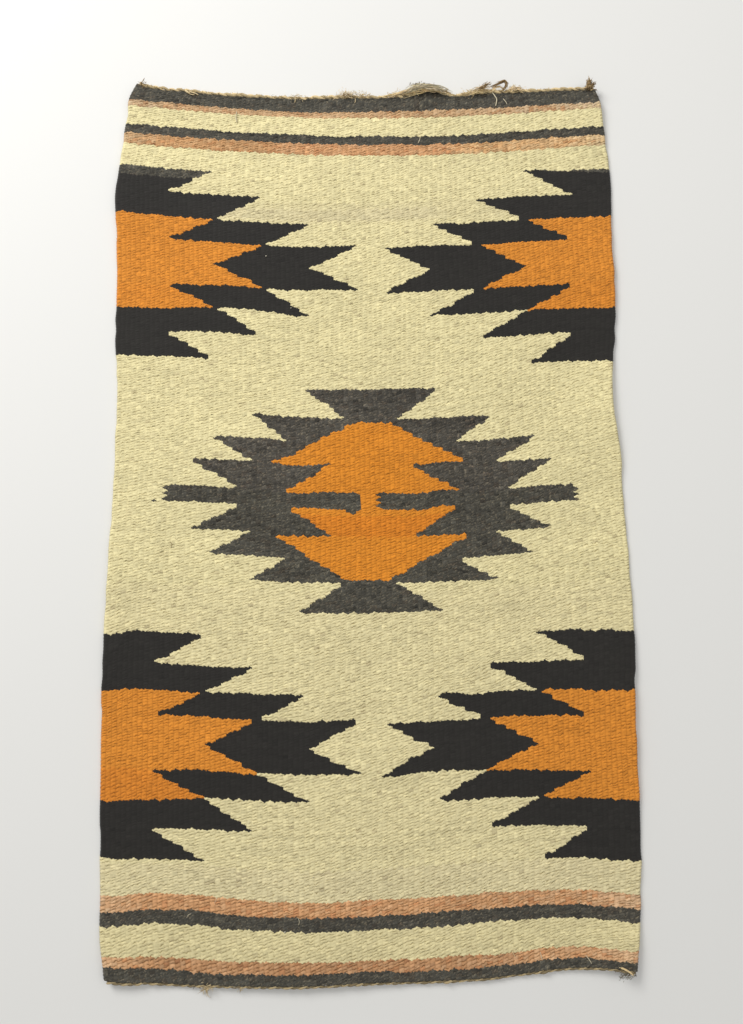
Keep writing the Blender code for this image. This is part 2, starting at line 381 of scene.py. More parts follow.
# Two-ply cords along the ends, in mm: their radius, the length of a bead, how light each ply
# is, and how many fine hairs and cut stubs of warp they have and how long these are
CORD_COLUMNS = (
    "end", "radius", "bead", "light", "dark", "hairs", "hair_length", "stubs", "stub_length",
)
CORDS = (
    ("top", 1.85, 7.6, 1.00, 0.66, 1050, 4.0, 110, 3.2),
    ("bottom", 1.30, 6.2, 0.60, 0.28, 320, 1.9, 40, 1.4),
)

# A cord's make in shares of its radius, each with how far it varies along it: how far out and up
# from the cloth's end it lies, how far its plies lie from its middle, and their radii
CORD_MAKE = {"out": (0.48, 0.30), "up": (0.20, 0.30), "spread": (0.48, 0.18), "ply": (0.64, 0.26)}

# The steps of a cord, and from where to where along the end the cord and the roots of its
# strands lie, in shares of it
CORD_STEP = 1.1 * MM
CORD_REACH = (0.004, 0.996)
ROOT_REACH = (0.006, 0.994)

# The bumps that a cord's make varies by: how many are drawn, how many lie along the end, and
# how many of them lie between where one value of the make starts and where the next one does
CORD_BUMPS = 64
BUMPS_ALONG = 40.0
BUMP_SHIFT = 7.0

# Loose strands on a cord: the shortest and the longest as shares of their length, how far they
# lean to either side in radians, how far they curl as a share of their reach, and the steps
# between two of their points
STRAND_COLUMNS = ("shortest", "longest", "lean", "curl", "steps")
STRANDS = {
    "stub": (0.60, 1.25, 0.9, 0.5, 2),
    "hair": (0.35, 1.00, 1.5, 0.8, 1),
    "clump": (0.45, 1.00, 0.6, 0.9, 2),
}

# How many points follow a strand's root, how far they jitter as a share of its reach, how far
# its arch goes round, and how much of its root's height it has lost at its tip
STRAND_POINTS = 4
STRAND_JITTER = 0.07
STRAND_ARCH = 0.75 * math.pi
STRAND_DROOP = 0.6

# How thick a stub is and how high it rises at most, how thick a fine hair is, the share of the
# fine hairs that are straw, and how widely a clump fans out in radians
STUB_RADIUS = 0.42 * MM
STUB_RISE = 0.5 * MM
HAIR_RADIUS = 0.15 * MM
STRAW_HAIRS = 0.8
CLUMP_FAN = 1.7

# Frayed clumps along the ends: where they stand, how wide, how many strands, and how long,
# high and thick they are, in mm
CLUMP_COLUMNS = ("end", "across", "width", "strands", "length", "height", "thickness", "shade")
CLUMPS = (
    ("top", -211, 7, 8, 4.5, 1.6, 0.34, "straw"),
    ("top", -209, 4, 6, 5.5, 3.0, 0.22, "brown"),
    ("top", -172, 14, 14, 4.0, 1.6, 0.34, "straw"),
    ("top", -120, 12, 12, 4.0, 1.6, 0.34, "straw"),
    ("top", -66, 12, 12, 4.6, 2.0, 0.30, "straw"),
    ("top", -18, 19, 56, 8.8, 2.4, 0.22, "straw"),
    ("top", -18, 18, 24, 7.2, 2.0, 0.24, "brown"),
    ("top", -3, 15, 34, 7.4, 2.4, 0.22, "straw"),
    ("top", 20, 24, 26, 4.0, 2.0, 0.26, "straw"),
    ("top", 60, 30, 14, 3.5, 1.5, 0.34, "straw"),
    ("top", 112, 24, 16, 5.0, 2.6, 0.32, "straw"),
    ("top", 146, 20, 16, 4.6, 2.2, 0.34, "straw"),
    ("top", 178, 16, 10, 3.6, 1.6, 0.30, "straw"),
    ("top", 213, 8, 26, 7.0, 3.0, 0.28, "brown"),
    ("bottom", -137, 8, 12, 5.0, 1.2, 0.28, "brown"),
    ("bottom", -128, 7, 26, 10.5, 1.6, 0.24, "straw"),
    ("bottom", -102, 7, 14, 7.0, 1.2, 0.22, "straw"),
    ("bottom", 211, 13, 34, 6.5, 1.6, 0.26, "brown"),
    ("bottom", 217, 6, 12, 5.5, 1.6, 0.26, "grey"),
)

# Bundles of loose warp: the shade, how many strands, how far they spread and how thick they
# are, and points across and along the rug with their height over its face, in mm
WISP_COLUMNS = ("place", "shade", "strands", "spread", "thickness", "points")
WISPS = (
    ("left arch, left slope", "straw", 18, 1.5, 0.26,
     ((15.0, 386.4, -0.8), (26.0, 388.8, 0.8), (36.0, 392.2, 1.8), (46.0, 395.6, 2.2))),
    ("left arch", "pale", 30, 2.6, 0.26,
     ((29.5, 387.6, -1.0), (38.0, 391.2, 0.8), (46.2, 395.0, 2.4), (57.0, 396.6, 3.2),
      (66.0, 395.8, 3.0), (73.5, 393.0, 2.0), (81.5, 388.8, -1.0))),
    ("left arch, top", "pale", 26, 2.4, 0.26,
     ((40.0, 392.6, 1.6), (48.0, 396.6, 3.2), (58.0, 398.0, 3.8), (68.0, 396.4, 3.2),
      (76.0, 392.4, 1.2))),
    ("left arch, under", "straw", 18, 2.4, 0.24,
     ((33.0, 387.6, -1.0), (44.0, 391.8, 1.2), (56.0, 393.6, 2.2), (68.0, 393.4, 2.2),
      (80.5, 389.6, -0.2))),
    ("left arch, loose end", "pale", 4, 0.5, 0.28,
     ((45.4, 394.6, 2.8), (47.6, 391.6, 2.0), (50.4, 388.4, 0.6))),
    ("right bundle", "brown", 26, 2.0, 0.26,
     ((103.0, 391.0, -0.4), (108.0, 394.4, 1.2), (113.0, 398.0, 2.6), (118.8, 401.0, 3.0))),
    ("right bundle, pale", "straw", 26, 2.4, 0.26,
     ((90.0, 388.2, -1.0), (99.0, 390.8, 0.8), (108.0, 393.8, 2.0), (119.0, 395.4, 1.8))),
    ("loop, outer side", "brown", 20, 1.0, 0.34,
     ((118.6, 396.6, 1.4), (126.0, 400.4, 3.0), (132.4, 403.2, 3.4), (134.0, 400.2, 2.8),
      (133.0, 396.0, 1.4), (128.6, 392.6, 0.0))),
    ("loop, inner side", "straw", 12, 0.9, 0.30,
     ((119.0, 393.4, 0.4), (123.6, 396.4, 1.6), (128.6, 397.4, 1.8), (131.6, 393.6, 0.6))),
    ("straw bits", "straw", 20, 1.9, 0.28,
     ((134.6, 391.6, 0.0), (139.0, 394.8, 1.2), (144.6, 395.2, 1.2), (149.4, 393.0, 0.0))),
    ("right corner", "brown", 36, 2.0, 0.28,
     ((209.6, 394.6, 0.0), (212.6, 399.6, 2.0), (214.0, 405.2, 2.6))),
    ("right corner, outer", "brown", 22, 1.6, 0.28,
     ((212.0, 395.0, 0.4), (216.0, 398.8, 1.8), (218.8, 402.2, 2.0))),
    ("right corner, straw", "straw", 9, 1.3, 0.28,
     ((208.6, 395.6, 0.2), (213.0, 398.2, 1.6), (217.0, 396.4, 0.4))),
    ("left corner", "brown", 6, 0.7, 0.22,
     ((-213.6, 398.0, 0.4), (-212.6, 402.4, 1.8), (-210.4, 406.0, 2.0))),
    ("bottom right corner", "straw", 7, 0.8, 0.30,
     ((208.6, -387.0, 0.6), (213.2, -388.8, 1.2), (218.0, -391.4, 0.8), (221.6, -394.4, 0.2))),
)

# How a bundle's strands vary: which share of its route they follow, how far their ends drift
# and their middles sway as shares of its spread, how many waves they have, and their thickness
WISP_SPAN = (0.4, 1.0)
WISP_DRIFT = (0.6, 0.6, 0.36)
WISP_SWAY = (0.5, 0.5, 0.25)
WISP_WAVES = (1.0, 4.5)
WISP_THICKNESS = (0.7, 1.2)

# Fine grey, brown and straw fuzz: the middle of each patch, its half width and half height, and how
# many hairs it has
FUZZ_COLUMNS = ("across", "along", "half_width", "half_height", "hairs", "shade")
FUZZ = (
    (52.0, 399.4, 9.0, 2.2, 110, "grey"),
    (54.0, 398.6, 10.0, 2.0, 40, "brown"),
    (60.0, 395.4, 18.0, 2.2, 80, "straw"),
    (30.0, 390.4, 9.0, 2.2, 50, "straw"),
    (98.0, 391.6, 7.0, 2.2, 60, "straw"),
    (114.0, 395.6, 9.0, 2.6, 50, "straw"),
    (141.0, 395.0, 9.0, 2.5, 60, "straw"),
    (-16.0, 389.8, 11.0, 3.2, 110, "straw"),
    (-14.0, 388.6, 9.0, 2.4, 50, "brown"),
    (-2.0, 389.0, 6.0, 2.6, 50, "straw"),
    (-65.0, 387.6, 6.0, 2.5, 30, "straw"),
    (214.5, 400.0, 4.0, 3.8, 60, "brown"),
    (-211.0, 400.0, 3.0, 2.5, 20, "brown"),
    (214.0, -393.5, 6.0, 2.5, 60, "grey"),
    (-127.6, -402.5, 4.0, 3.0, 40, "straw"),
)

# How the hairs of a patch vary: their length, how high they start and how much they arch in mm,
# and how far they turn at each step in radians. All are equally thick.
FUZZ_REACH = (1.2, 3.2)
FUZZ_START = (-0.5, 1.5)
FUZZ_ARCH = 0.7
FUZZ_TURN = 0.8
FUZZ_RADIUS = 0.19 * MM

# How dark and light strands are, in shares of their yarn's colour
STRAND_TONES = (0.60, 1.22)
WISP_TONES = (0.68, 1.55)
FUZZ_TONES = (0.75, 1.30)

# Loose threads lying on the cloth: the yarn, the thickness, and points across and along it,
# with their height over the weave, in mm
THREAD_COLUMNS = ("name", "shade", "thickness", "points")
THREADS = (
    ("light thread by the right bundle", "pale", 0.95,
     ((120.6, 391.4, 0.6), (122.6, 388.4, 0.8), (124.6, 384.6, 0.6), (124.2, 381.0, 0.5),
      (123.4, 377.2, 0.0))),
    ("short light thread", "pale", 0.60,
     ((130.6, 385.2, 0.0), (132.8, 382.4, 0.6), (134.6, 379.0, 0.1))),
    ("straw blob", "straw", 2.20,
     ((120.8, 392.0, 0.2), (122.6, 394.4, 1.0), (124.4, 392.6, 0.2))),
    ("straw slub", "straw", 1.90,
     ((-171.2, 393.6, 0.0), (-169.0, 391.8, 0.8), (-166.6, 390.4, 0.4))),
    ("straw slub tail", "straw", 1.10,
     ((-167.6, 392.4, 0.6), (-164.0, 391.2, 0.7), (-160.8, 390.2, 0.6), (-158.6, 388.6, 0.0))),
    ("straw slub, lower tail", "straw", 0.80,
     ((-168.6, 390.6, 0.4), (-165.2, 389.4, 0.5), (-162.0, 388.8, 0.0))),
    ("light end, upper stripe", "pale", 0.55,
     ((51.8, 345.6, 0.0), (50.9, 342.4, 0.5), (49.5, 339.4, 0.0))),
    ("hanging light thread", "pale", 0.90,
     ((-121.9, 372.1, 0.3), (-122.4, 366.2, 0.9), (-121.6, 360.4, 0.3))),
    ("light end, left third", "straw", 0.70,
     ((-67.2, 386.6, 0.0), (-66.6, 383.6, 0.5), (-67.0, 380.8, 0.0))),
    ("light end, middle", "straw", 0.60,
     ((-9.8, 385.2, 0.0), (-9.4, 382.8, 0.5), (-10.2, 380.6, 0.0))),
    ("hair, lower stripe, left", "pale", 0.35,
     ((-147.0, -349.0, 0.0), (-145.6, -346.5, 0.6), (-143.0, -345.3, 0.0))),
    ("hair, lower stripe, middle", "pale", 0.35,
     ((-54.6, -354.5, 0.0), (-53.8, -351.9, 0.7), (-54.9, -348.6, 0.0))),
    ("hair, lower stripe, far left", "pale", 0.35,
     ((-124.4, -337.6, 0.0), (-123.0, -334.7, 0.5), (-122.4, -331.8, 0.0))),
    ("light end, right corner", "pale", 0.55,
     ((181.6, -377.4, 0.0), (184.4, -381.0, 0.5), (186.6, -384.4, 0.0))),
    ("light end, left of it", "pale", 0.50,
     ((144.6, -375.0, 0.0), (145.2, -378.6, 0.5), (146.2, -381.6, 0.0))),
    ("light end, middle of the right side", "straw", 0.45,
     ((121.4, -373.6, 0.0), (122.6, -376.8, 0.5), (124.4, -379.6, 0.0))),
    ("brown hair", "brown", 0.30,
     ((-171.6, -36.4, 0.0), (-169.8, -38.9, 0.5), (-170.0, -43.0, 0.0))),
)

# Specks of white lint, in mm, and their tint over the pale thread's colour
LINT_TINT = (1.2, 1.25, 1.4)
SPECK_COLUMNS = ("across", "along", "size")
SPECKS = (
    (-91.5, 227.6, 0.75),
    (-150.7, 135.8, 0.85),
    (-67.8, 177.5, 0.60),
    (-65.5, -359.7, 0.70),
    (-42.8, -316.6, 0.60),
)

# The lowest that a yarn or a hair lies
OVER_FLOOR = 0.05 * MM

# Seeds of the random draws
DYE_SEED = 7
WANDER_SEED = 19
CORD_SEEDS = {"top": 11, "bottom": 23}

# Soft lights: where they hang in metres, how wide they are, and their watts
LIGHT_COLUMNS = ("name", "place", "size", "watts")
LIGHTS = (
    ("window", (-1.2, 1.3, 1.25), 0.9, 38.0),
    ("bounce", (1.2, 0.2, 1.9), 1.8, 9.5),
)
SKY_STRENGTH = 0.46

# The bake map: from where to where up the square the walls, the underside and the face lie
BAKE_MARGIN = 0.004
BAKE_WALLS = (0.004, 0.034)
BAKE_UNDERSIDE = (0.042, 0.250)
BAKE_FACE = (0.262, 0.996)


def linear(red, green, blue):
    """A colour picked on a display, from 0 to 255, as the linear values that a shader takes."""
    shares = (red / 255.0, green / 255.0, blue / 255.0)
    return tuple(s / 12.92 if s <= 0.04045 else ((s + 0.055) / 1.055) ** 2.4 for s in shares)


def colour_property(name, description, *shown):
    return bpy.props.FloatVectorProperty(
        name=name, description=description, subtype="COLOR", size=3, min=0.0, max=1.0,
        default=linear(*shown),
    )


def length_property(name, description, millimetres):
    return bpy.props.FloatProperty(
        name=name, description=description, unit="LENGTH", precision=5, min=0.0,
        default=millimetres * MM,
    )


class RugWeaveSettings(bpy.types.PropertyGroup):
    body: length_property("Body", "Cloth under the floats", 3.0)
    thickness: length_property("Thickness", "The whole cloth, at the top of its ribs", 3.6)
    rounding: length_property("Rim", "How far the underside is drawn in at the rim", 1.0)
    wander: length_property("Wander", "How far ribs and wefts stray from their lines", 0.55)
    scallop: length_property("Scallop", "How far the turns of weft stand out of a selvedge", 0.35)
    jostle: length_property("Jostle", "How far the floats of a rib crowd up or down it", 0.75)
    lean: bpy.props.FloatProperty(
        name="Lean", description="How the floats lean up to the right", subtype="ANGLE",
        default=math.radians(20.0),
    )


class RugColourSettings(bpy.types.PropertyGroup):
    cream: colour_property("Cream", "Undyed cream wool", 227, 215, 165)
    orange: colour_property("Orange", "Orange dyed wool", 218, 139, 50)
    black: colour_property("Black", "Black dyed wool", 43, 41, 38)
    charcoal: colour_property("Charcoal", "Carded grey and black wool", 70, 68, 61)
    rust: colour_property("Rust", "Faded red-brown wool", 207, 156, 110)
    straw: colour_property("Straw", "Cotton warp and end cords", 234, 211, 164)
    brown: colour_property("Brown", "Stained warp ends", 150, 124, 84)
    pale: colour_property("Pale", "Bleached loose threads", 226, 214, 182)
    grey: colour_property("Grey", "Dusty fuzz on the ends", 120, 112, 92)


class RugStageSettings(bpy.types.PropertyGroup):
    floor: colour_property("Floor", "The plain pale floor", 226, 225, 221)
    floor_reach: length_property("Floor reach", "Half the floor's side", 6000.0)
    tilt: bpy.props.FloatProperty(
        name="Tilt", description="The camera's lean towards the top end", subtype="ANGLE",
        default=math.radians(7.43),
    )
    lens: bpy.props.FloatProperty(
        name="Lens", description="Focal length on a frame 36 mm high, in mm", default=27.07,
    )


def weave_settings():
    return bpy.context.scene.rug_weave


def ease(share):
    """A share from 0 to 1, with a soft start and a soft stop."""
    return share * share * (3.0 - 2.0 * share)


def row_facts(columns, row):
    """A table's row by the names of its columns."""
    return dict(zip(columns, row))


def read_column(rows, columns, name):
    """The numbers of a table's column."""
    place = columns.index(name)
    return np.array([row[place] for row in rows], float)


def read_curve(rows, columns, name, places):
    """A column of a table, in metres, on a smooth curve through its rows, at many places."""
    spots = read_column(rows, columns, columns[0]) * MM
    values = read_column(rows, columns, name) * MM
    slopes = np.empty_like(values)
    slopes[1:-1] = (values[2:] - values[:-2]) / (spots[2:] - spots[:-2])
    slopes[0] = (values[1] - values[0]) / (spots[1] - spots[0])
    slopes[-1] = (values[-1] - values[-2]) / (spots[-1] - spots[-2])
    at = np.clip(places, spots[0], spots[-1])
    low = np.clip(np.searchsorted(spots, at, side="right") - 1, 0, len(spots) - 2)
    step = spots[low + 1] - spots[low]
    t = (at - spots[low]) / step
    start = values[low] * (2 * t**3 - 3 * t**2 + 1) + slopes[low] * step * (t**3 - 2 * t**2 + t)
    stop = values[low + 1] * (3 * t**2 - 2 * t**3) + slopes[low + 1] * step * (t**3 - t**2)
    return start + stop


def read_end(rows, spots):
    """Where an end of the cloth lies along it, at many spots across."""
    return read_curve(rows, END_COLUMNS, "along", spots)


def read_hills(rows, x, y):
    """The height of a table's hills at many points, in metres."""
    total = np.zeros_like(x)
    for row in rows:
        hill = row_facts(HILL_COLUMNS, row)
        dx = (x / MM - hill["across"]) / hill["reach_across"]
        dy = (y / MM - hill["along"]) / hill["reach_along"]
        total += hill["height"] * MM * np.maximum(0.0, 1.0 - dx * dx - dy * dy) ** 2
    return total


def soft_noise(seed, u, v, cells):
    """Smooth values from -1 to 1, with a hill or a hollow to a cell, for u and v from 0 to 1."""
    cells_u, cells_v = cells
    knots = np.random.default_rng(seed).uniform(-1.0, 1.0, (cells_u + 2, cells_v + 2))
    across = np.clip(u, 0.0, 1.0) * cells_u
    along = np.clip(v, 0.0, 1.0) * cells_v
    i = across.astype(int)
    j = along.astype(int)
    s = ease(across - i)
    t = ease(along - j)
    near = knots[i, j] * (1.0 - t) + knots[i, j + 1] * t
    far = knots[i + 1, j] * (1.0 - t) + knots[i + 1, j + 1] * t
    return near * (1.0 - s) + far * s


def outline_point(u, v):
    """The solid cloth's point for u across and v along it, from -1 to 1."""
    top = read_end(TOP_END, u * TOP_HALF_WIDTH)
    bottom = read_end(BOTTOM_END, u * BOTTOM_HALF_WIDTH)
    y = bottom + (top - bottom) * (v + 1.0) / 2.0
    left = read_curve(SIDES, SIDE_COLUMNS, "left", y)
    right = read_curve(SIDES, SIDE_COLUMNS, "right", y)
    return left + (right - left) * (u + 1.0) / 2.0, y


def shift_to_frame():
    """The move from the tables' middle to the frame's origin, from the solid cloth's box."""
    u = np.linspace(-1.0, 1.0, SOLID_CELLS[0] + 1)[:, None]
    v = np.linspace(-1.0, 1.0, SOLID_CELLS[1] + 1)[None, :]
    x, y = outline_point(u, v)
    low = CLOTH_BOX[0]
    lowest = read_hills(SWELLS, x, y).min()
    return Vector((low.x - x.min(), low.y - y.min(), low.z - lowest))


SHIFT = shift_to_frame()


def weave_point(ribs, floats):
    """Where points of the weave lie, with the small strayings of a hand weave."""
    weave = weave_settings()
    share_across = ribs / RIBS
    share_along = floats / FLOATS
    x, y = outline_point(2.0 * share_across - 1.0, 2.0 * share_along - 1.0)
    drawn_in = read_hills(SWELLS, x, y) / EYE.z
    x = x - (x - EYE.x) * drawn_in
    y = y - (y - EYE.y) * drawn_in
    spots = (2.0 * share_across - 1.0) * TOP_HALF_WIDTH
    bulge = read_end(TOP_END, spots) - read_end(TOP_LINE, spots)
    inside = ease(np.clip((FLOATS - floats) / BULGE_FLOATS, 0.0, 1.0))
    y = y - bulge * share_along * inside
    off_end = np.clip(np.minimum(share_along, 1.0 - share_along) / END_SHARE, 0.0, 1.0)
    bow = read_hills(BOWS, x, y) * off_end + read_hills(PULLS, x, y)
    stray_x = soft_noise(WANDER_SEED, share_across, share_along, WARP_HILLS)
    stray_y = soft_noise(WANDER_SEED + 1, share_across, share_along, WEFT_HILLS)
    x = x + read_hills(SPREADS, x, y) + weave.wander * stray_x
    y = y + bow + weave.wander * stray_y * off_end
    rim = (ribs <= 0.0) | (ribs >= RIBS)
    turn = 0.5 - 0.5 * np.cos(2.0 * math.pi * floats)
    side = np.where(ribs <= 0.0, -1.0, 1.0)
    x = x + np.where(rim, side * weave.scallop * turn, 0.0)
    return x, y


class Chart:
    """What each float is woven of. The first index is its rib and the second its number along
    it, and every other rib's floats lie half a float lower."""

    def __init__(self):
        rib = np.arange(RIBS)[:, None]
        number = np.arange(FLOATS + 1)[None, :]
        self.ribs = np.broadcast_to(rib + 0.5, (RIBS, FLOATS + 1))
        self.lines = number + 0.5 - 0.5 * (rib % 2)
        self.yarns = np.full(self.ribs.shape, CREAM)
        for row in STRIPES:
            stripe = row_facts(STRIPE_COLUMNS, row)
            rise = self.ribs / RIBS
            lower = stripe["lower_left"] + (stripe["lower_right"] - stripe["lower_left"]) * rise
            upper = stripe["upper_left"] + (stripe["upper_right"] - stripe["upper_left"]) * rise
            self.yarns[(self.lines > lower) & (self.lines <= upper)] = stripe["yarn"]
        for row in MOTIFS:
            self.weave_corner_motif(**row_facts(MOTIF_COLUMNS, row))
        for row in MIDDLE_SHAPES:
            self.weave_middle_shape(**row_facts(SHAPE_COLUMNS, row))
        dice = np.random.default_rng(DYE_SEED)
        self.plumpness = dice.normal(0.0, 1.0, self.ribs.shape)
        self.dye = self.dye_floats(dice)

    def between(self, upper, lower):
        return (self.lines <= upper) & (self.lines > lower)

    def weave_corner_motif(self, right, reach, cap, cap_at_tip, lines):
        """Black teeth that step in to an arrow and out again, around an orange heart."""
        inward = RIBS - self.ribs if right else self.ribs
        for band, (upper, lower) in enumerate(zip(lines, lines[1:])):
            drop = (upper - self.lines) / (upper - lower)
            tooth = band
            if band >= MIDDLE_TOOTH:
                tooth = 2 * MIDDLE_TOOTH - 1 - band
                drop = 1.0 - drop
            edge = reach + TOOTH_RIBS * (tooth - drop)
            here = self.between(upper, lower)
            self.yarns[here & (inward < edge)] = BLACK
            if tooth >= MIDDLE_TOOTH / 2:
                self.yarns[here & (inward < edge - HEART_RIBS)] = ORANGE
        slant = cap + (cap_at_tip - cap) * inward / reach
        capped = self.between(lines[0], lines[1]) & (self.lines > lines[0] - slant)
        self.yarns[capped & (self.yarns == BLACK)] = CHARCOAL

    def weave_middle_shape(self, yarn, upper, lower, left, right, left_below, right_below):
        """A band of the middle motif between two weft lines, with slanted or upright ends."""
        drop = (upper - self.lines) / (upper - lower)
        upright = left == left_below and right - left > UPRIGHT_WIDTH
        tooth = UPRIGHT_STEP * (np.floor(self.lines) % 2) if upright else 0.0
        first = left + (left_below - left) * drop + tooth
        last = right + (right_below - right) * drop - tooth
        inside = (self.ribs > first) & (self.ribs < last)
        self.yarns[self.between(upper, lower) & inside] = yarn

    def dye_floats(self, dice):
        """Uneven dye and spinning: each float's colour as a share of its yarn's."""
        shape = self.ribs.shape
        uneven = read_column(YARNS, YARN_COLUMNS, "uneven")[self.yarns]
        pick = dice.normal(0.0, PICK_UNEVEN, (1, shape[1]))
        patch = soft_noise(DYE_SEED + 1, self.ribs / RIBS, self.lines / FLOATS, DYE_PATCHES)
        tone = 1.0 + uneven * (dice.normal(0.0, 1.0, shape) + pick + PATCH_UNEVEN * patch)
        dye = np.repeat(tone[:, :, None], 3, axis=2)
        for row in FADES:
            fade = row_facts(FADE_COLUMNS, row)
            here = self.between(fade["upper"], fade["lower"]) & (self.yarns == fade["yarn"])
            inside = np.minimum(self.ribs - fade["first"], fade["last"] - self.ribs)
            share = here * np.clip(1.0 + inside / FADE_RIBS, 0.0, 1.0)
            dye *= 1.0 + (np.array(fade["tint"]) - 1.0) * share[:, :, None]
        draw = dice.random(shape)
        for row in STREAKS:
            streak = row_facts(STREAK_COLUMNS, row)
            odd = (draw >= streak["first"]) & (draw < streak["last"])
            dye[odd & (self.yarns == streak["yarn"])] *= streak["tint"]
        pale = self.faded_rust(draw)[:, :, None]
        dye *= 1.0 + (np.array(RUST_TO_CREAM) - 1.0) * pale
        return np.clip(dye, *DYE_RANGE)

    def faded_rust(self, draw):
        """How far each rust float has faded towards cream."""
        edge = 1.0 - np.minimum(self.ribs, RIBS - self.ribs) / RUST_EDGE_RIBS
        first, last = RUST_RIGHT_RIBS
        right = np.clip((self.ribs - first) / (last - first), 0.0, 1.0)
        faded = RUST_FADED * (np.clip(edge, 0.0, 1.0) + RUST_RIGHT * right)
        share = np.clip(faded + RUST_CHANCE * (draw - RUST_KEPT), 0.0, RUST_MOST)
        return share * (self.yarns == RUST)


class Socket:
    """A value in a material's nodes. Arithmetic on it adds Math nodes."""

    def __init__(self, paint, link):
        self.paint = paint
        self.link = link

    def math(self, operation, *values):
        inputs = dict(enumerate(values))
        return self.paint.node("ShaderNodeMath", {"operation": operation}, inputs)["Value"]

    def __add__(self, other):
        return self.math("ADD", self, other)

    def __sub__(self, other):
        return self.math("SUBTRACT", self, other)

    def __rsub__(self, other):
        return self.math("SUBTRACT", other, self)

    def __mul__(self, other):
        return self.math("MULTIPLY", self, other)

    __radd__ = __add__
    __rmul__ = __mul__

    def fraction(self):
        return self.math("FRACT", self)

    def clamped(self):
        return self.math("MINIMUM", self.math("MAXIMUM", self, 0.0), 1.0)


class Paint:
    """A material with one Principled shader, and the nodes that feed it."""

    def __init__(self, name):
        self.material = bpy.data.materials.new(name)
        self.material.use_nodes = True
        self.tree = self.material.node_tree
        self.shader = self.tree.nodes["Principled BSDF"]

    def fill(self, node, inputs):
        """Sets or links a node's inputs."""
        for key, value in inputs.items():
            if isinstance(value, Socket):
                self.tree.links.new(value.link, node.inputs[key])
            else:
                node.inputs[key].default_value = value

    def node(self, kind, settings=None, inputs=None):
        """Adds a node and returns its outputs by name."""
        made = self.tree.nodes.new(kind)
        for key, value in (settings or {}).items():
            setattr(made, key, value)
        self.fill(made, inputs or {})
        return {output.name: Socket(self, output) for output in made.outputs if output.enabled}

    def mix(self, share, first, second, blend_type="MIX"):
        """Two colours, mixed by a share."""
        settings = {"data_type": "RGBA", "blend_type": blend_type}
        return self.node("ShaderNodeMix", settings, {0: share, 6: first, 7: second})["Result"]

    def vector(self, x, y, z):
        return self.node("ShaderNodeCombineXYZ", {}, {"X": x, "Y": y, "Z": z})["Vector"]

    def noise(self, x, y, z=0.0, detail=2.0):
        """Noise from 0 to 1 at a point whose parts are values or sockets."""
        inputs = {"Vector": self.vector(x, y, z), "Scale": 1.0, "Detail": detail}
        return self.node("ShaderNodeTexNoise", {}, inputs)["Fac"]

    def grain(self, name, x, y):
        """One of the wool's noises, for a rib and a float."""
        across, along, layer, detail = GRAINS[name]
        return self.noise(x * across, y * along, layer, detail)

    def uv(self, name):
        """The two parts of a map of the piece."""
        spot = self.node("ShaderNodeUVMap", {"uv_map": name})["UV"]
        parts = self.node("ShaderNodeSeparateXYZ", {}, {"Vector": spot})
        return parts["X"], parts["Y"]

    def finish(self, wool, tone, roughness, height, bump, sheen):
        """Dyes the wool, gives it its tone and its bumps, and returns the material. A bump is
        its strength and its depth in mm, and a sheen its weight and its roughness."""
        dye = self.node("ShaderNodeAttribute", {"attribute_name": "dye"})["Color"]
        dyed = self.mix(1.0, wool, dye, "MULTIPLY")
        relief = {"Strength": bump[0], "Distance": bump[1] * MM, "Height": height}
        self.fill(self.shader, {
            "Base Color": self.mix(1.0, dyed, self.vector(tone, tone, tone), "MULTIPLY"),
            "Roughness": roughness.clamped(),
            "Normal": self.node("ShaderNodeBump", {}, relief)["Normal"],
            "Specular IOR Level": WOOL_SPECULAR,
            "Sheen Weight": sheen[0],
            "Sheen Roughness": sheen[1],
        })
        return self.material


def opaque(colour, share=1.0):
    return (colour[0] * share, colour[1] * share, colour[2] * share, 1.0)


def spun_wool(row, colour):
    """Handspun single-ply wool, whose fibres run along each float and twist about it, with painted
    shade in the creases between floats and between ribs.
    """
    yarn = row_facts(YARN_COLUMNS, row)
    paint = Paint("wool_" + yarn["yarn"])
    rib, pick = paint.uv("weave")
    across = rib.fraction() - 0.5
    crowd = paint.grain("crowd", rib, pick) - 0.5
    along = (pick - across * FLOAT_SLANT + crowd * 0.9).fraction() * 2.0 - 1.0
    off_rib = across * across * 4.0
    off_float = along * along
    twist = pick - rib * FIBRE_TWIST
    fibre = paint.grain("fibre", rib, twist)
    slub = paint.grain("slub", rib, twist)
    # Painted shade: the creases between floats and between ribs are mixed towards a darker colour,
    # darker where the depth noise is high
    depth = (paint.grain("depth", rib, pick) * 5.0 - 1.9).clamped()
    crease_shade = off_float * off_float * yarn["float_crease_shade"] * depth * (1.0 - off_rib * 0.35)
    crease_shade = (crease_shade + off_rib * off_rib * yarn["rib_crease_shade"]).clamped()
    crease_shade_colour = opaque([part * share for part, share in zip(colour, CREASE_SHADE_SHARES)])
    wool = paint.mix(crease_shade, opaque(colour), crease_shade_colour)
    if yarn["yarn"] == "charcoal":
        pale_hair = ((paint.grain("hair", rib, twist) - 0.53) * 7.0).clamped() * 0.52
        wool = paint.mix(pale_hair, wool, opaque(linear(*PALE_HAIR)))
    tone = 0.80 + fibre * 0.16 + slub * 0.24
    height = fibre * 0.45 + slub * 0.6 - crease_shade * 0.5
    return paint.finish(wool, tone, 0.98 - fibre * 0.16, height, (0.85, 0.45), (0.12, 0.45))


def twisted_yarn(name, colour):
    """Cotton or wool thread, with its fibres winding round it. Its map counts along and around."""
    paint = Paint("thread_" + name)
    along, around = paint.uv("weave")
    fibre = paint.noise(along * 0.25, (around * 4.0) + along * 1.4)
    slub = paint.noise(along * 0.35, 3.0)
    thread = paint.mix((fibre * 1.6 - 0.35).clamped(), opaque(colour, 0.70), opaque(colour))
    tone = 0.85 + slub * 0.3
    return paint.finish(thread, tone, 0.95 - fibre * 0.15, fibre, (0.8, 0.15), (0.1, 0.5))


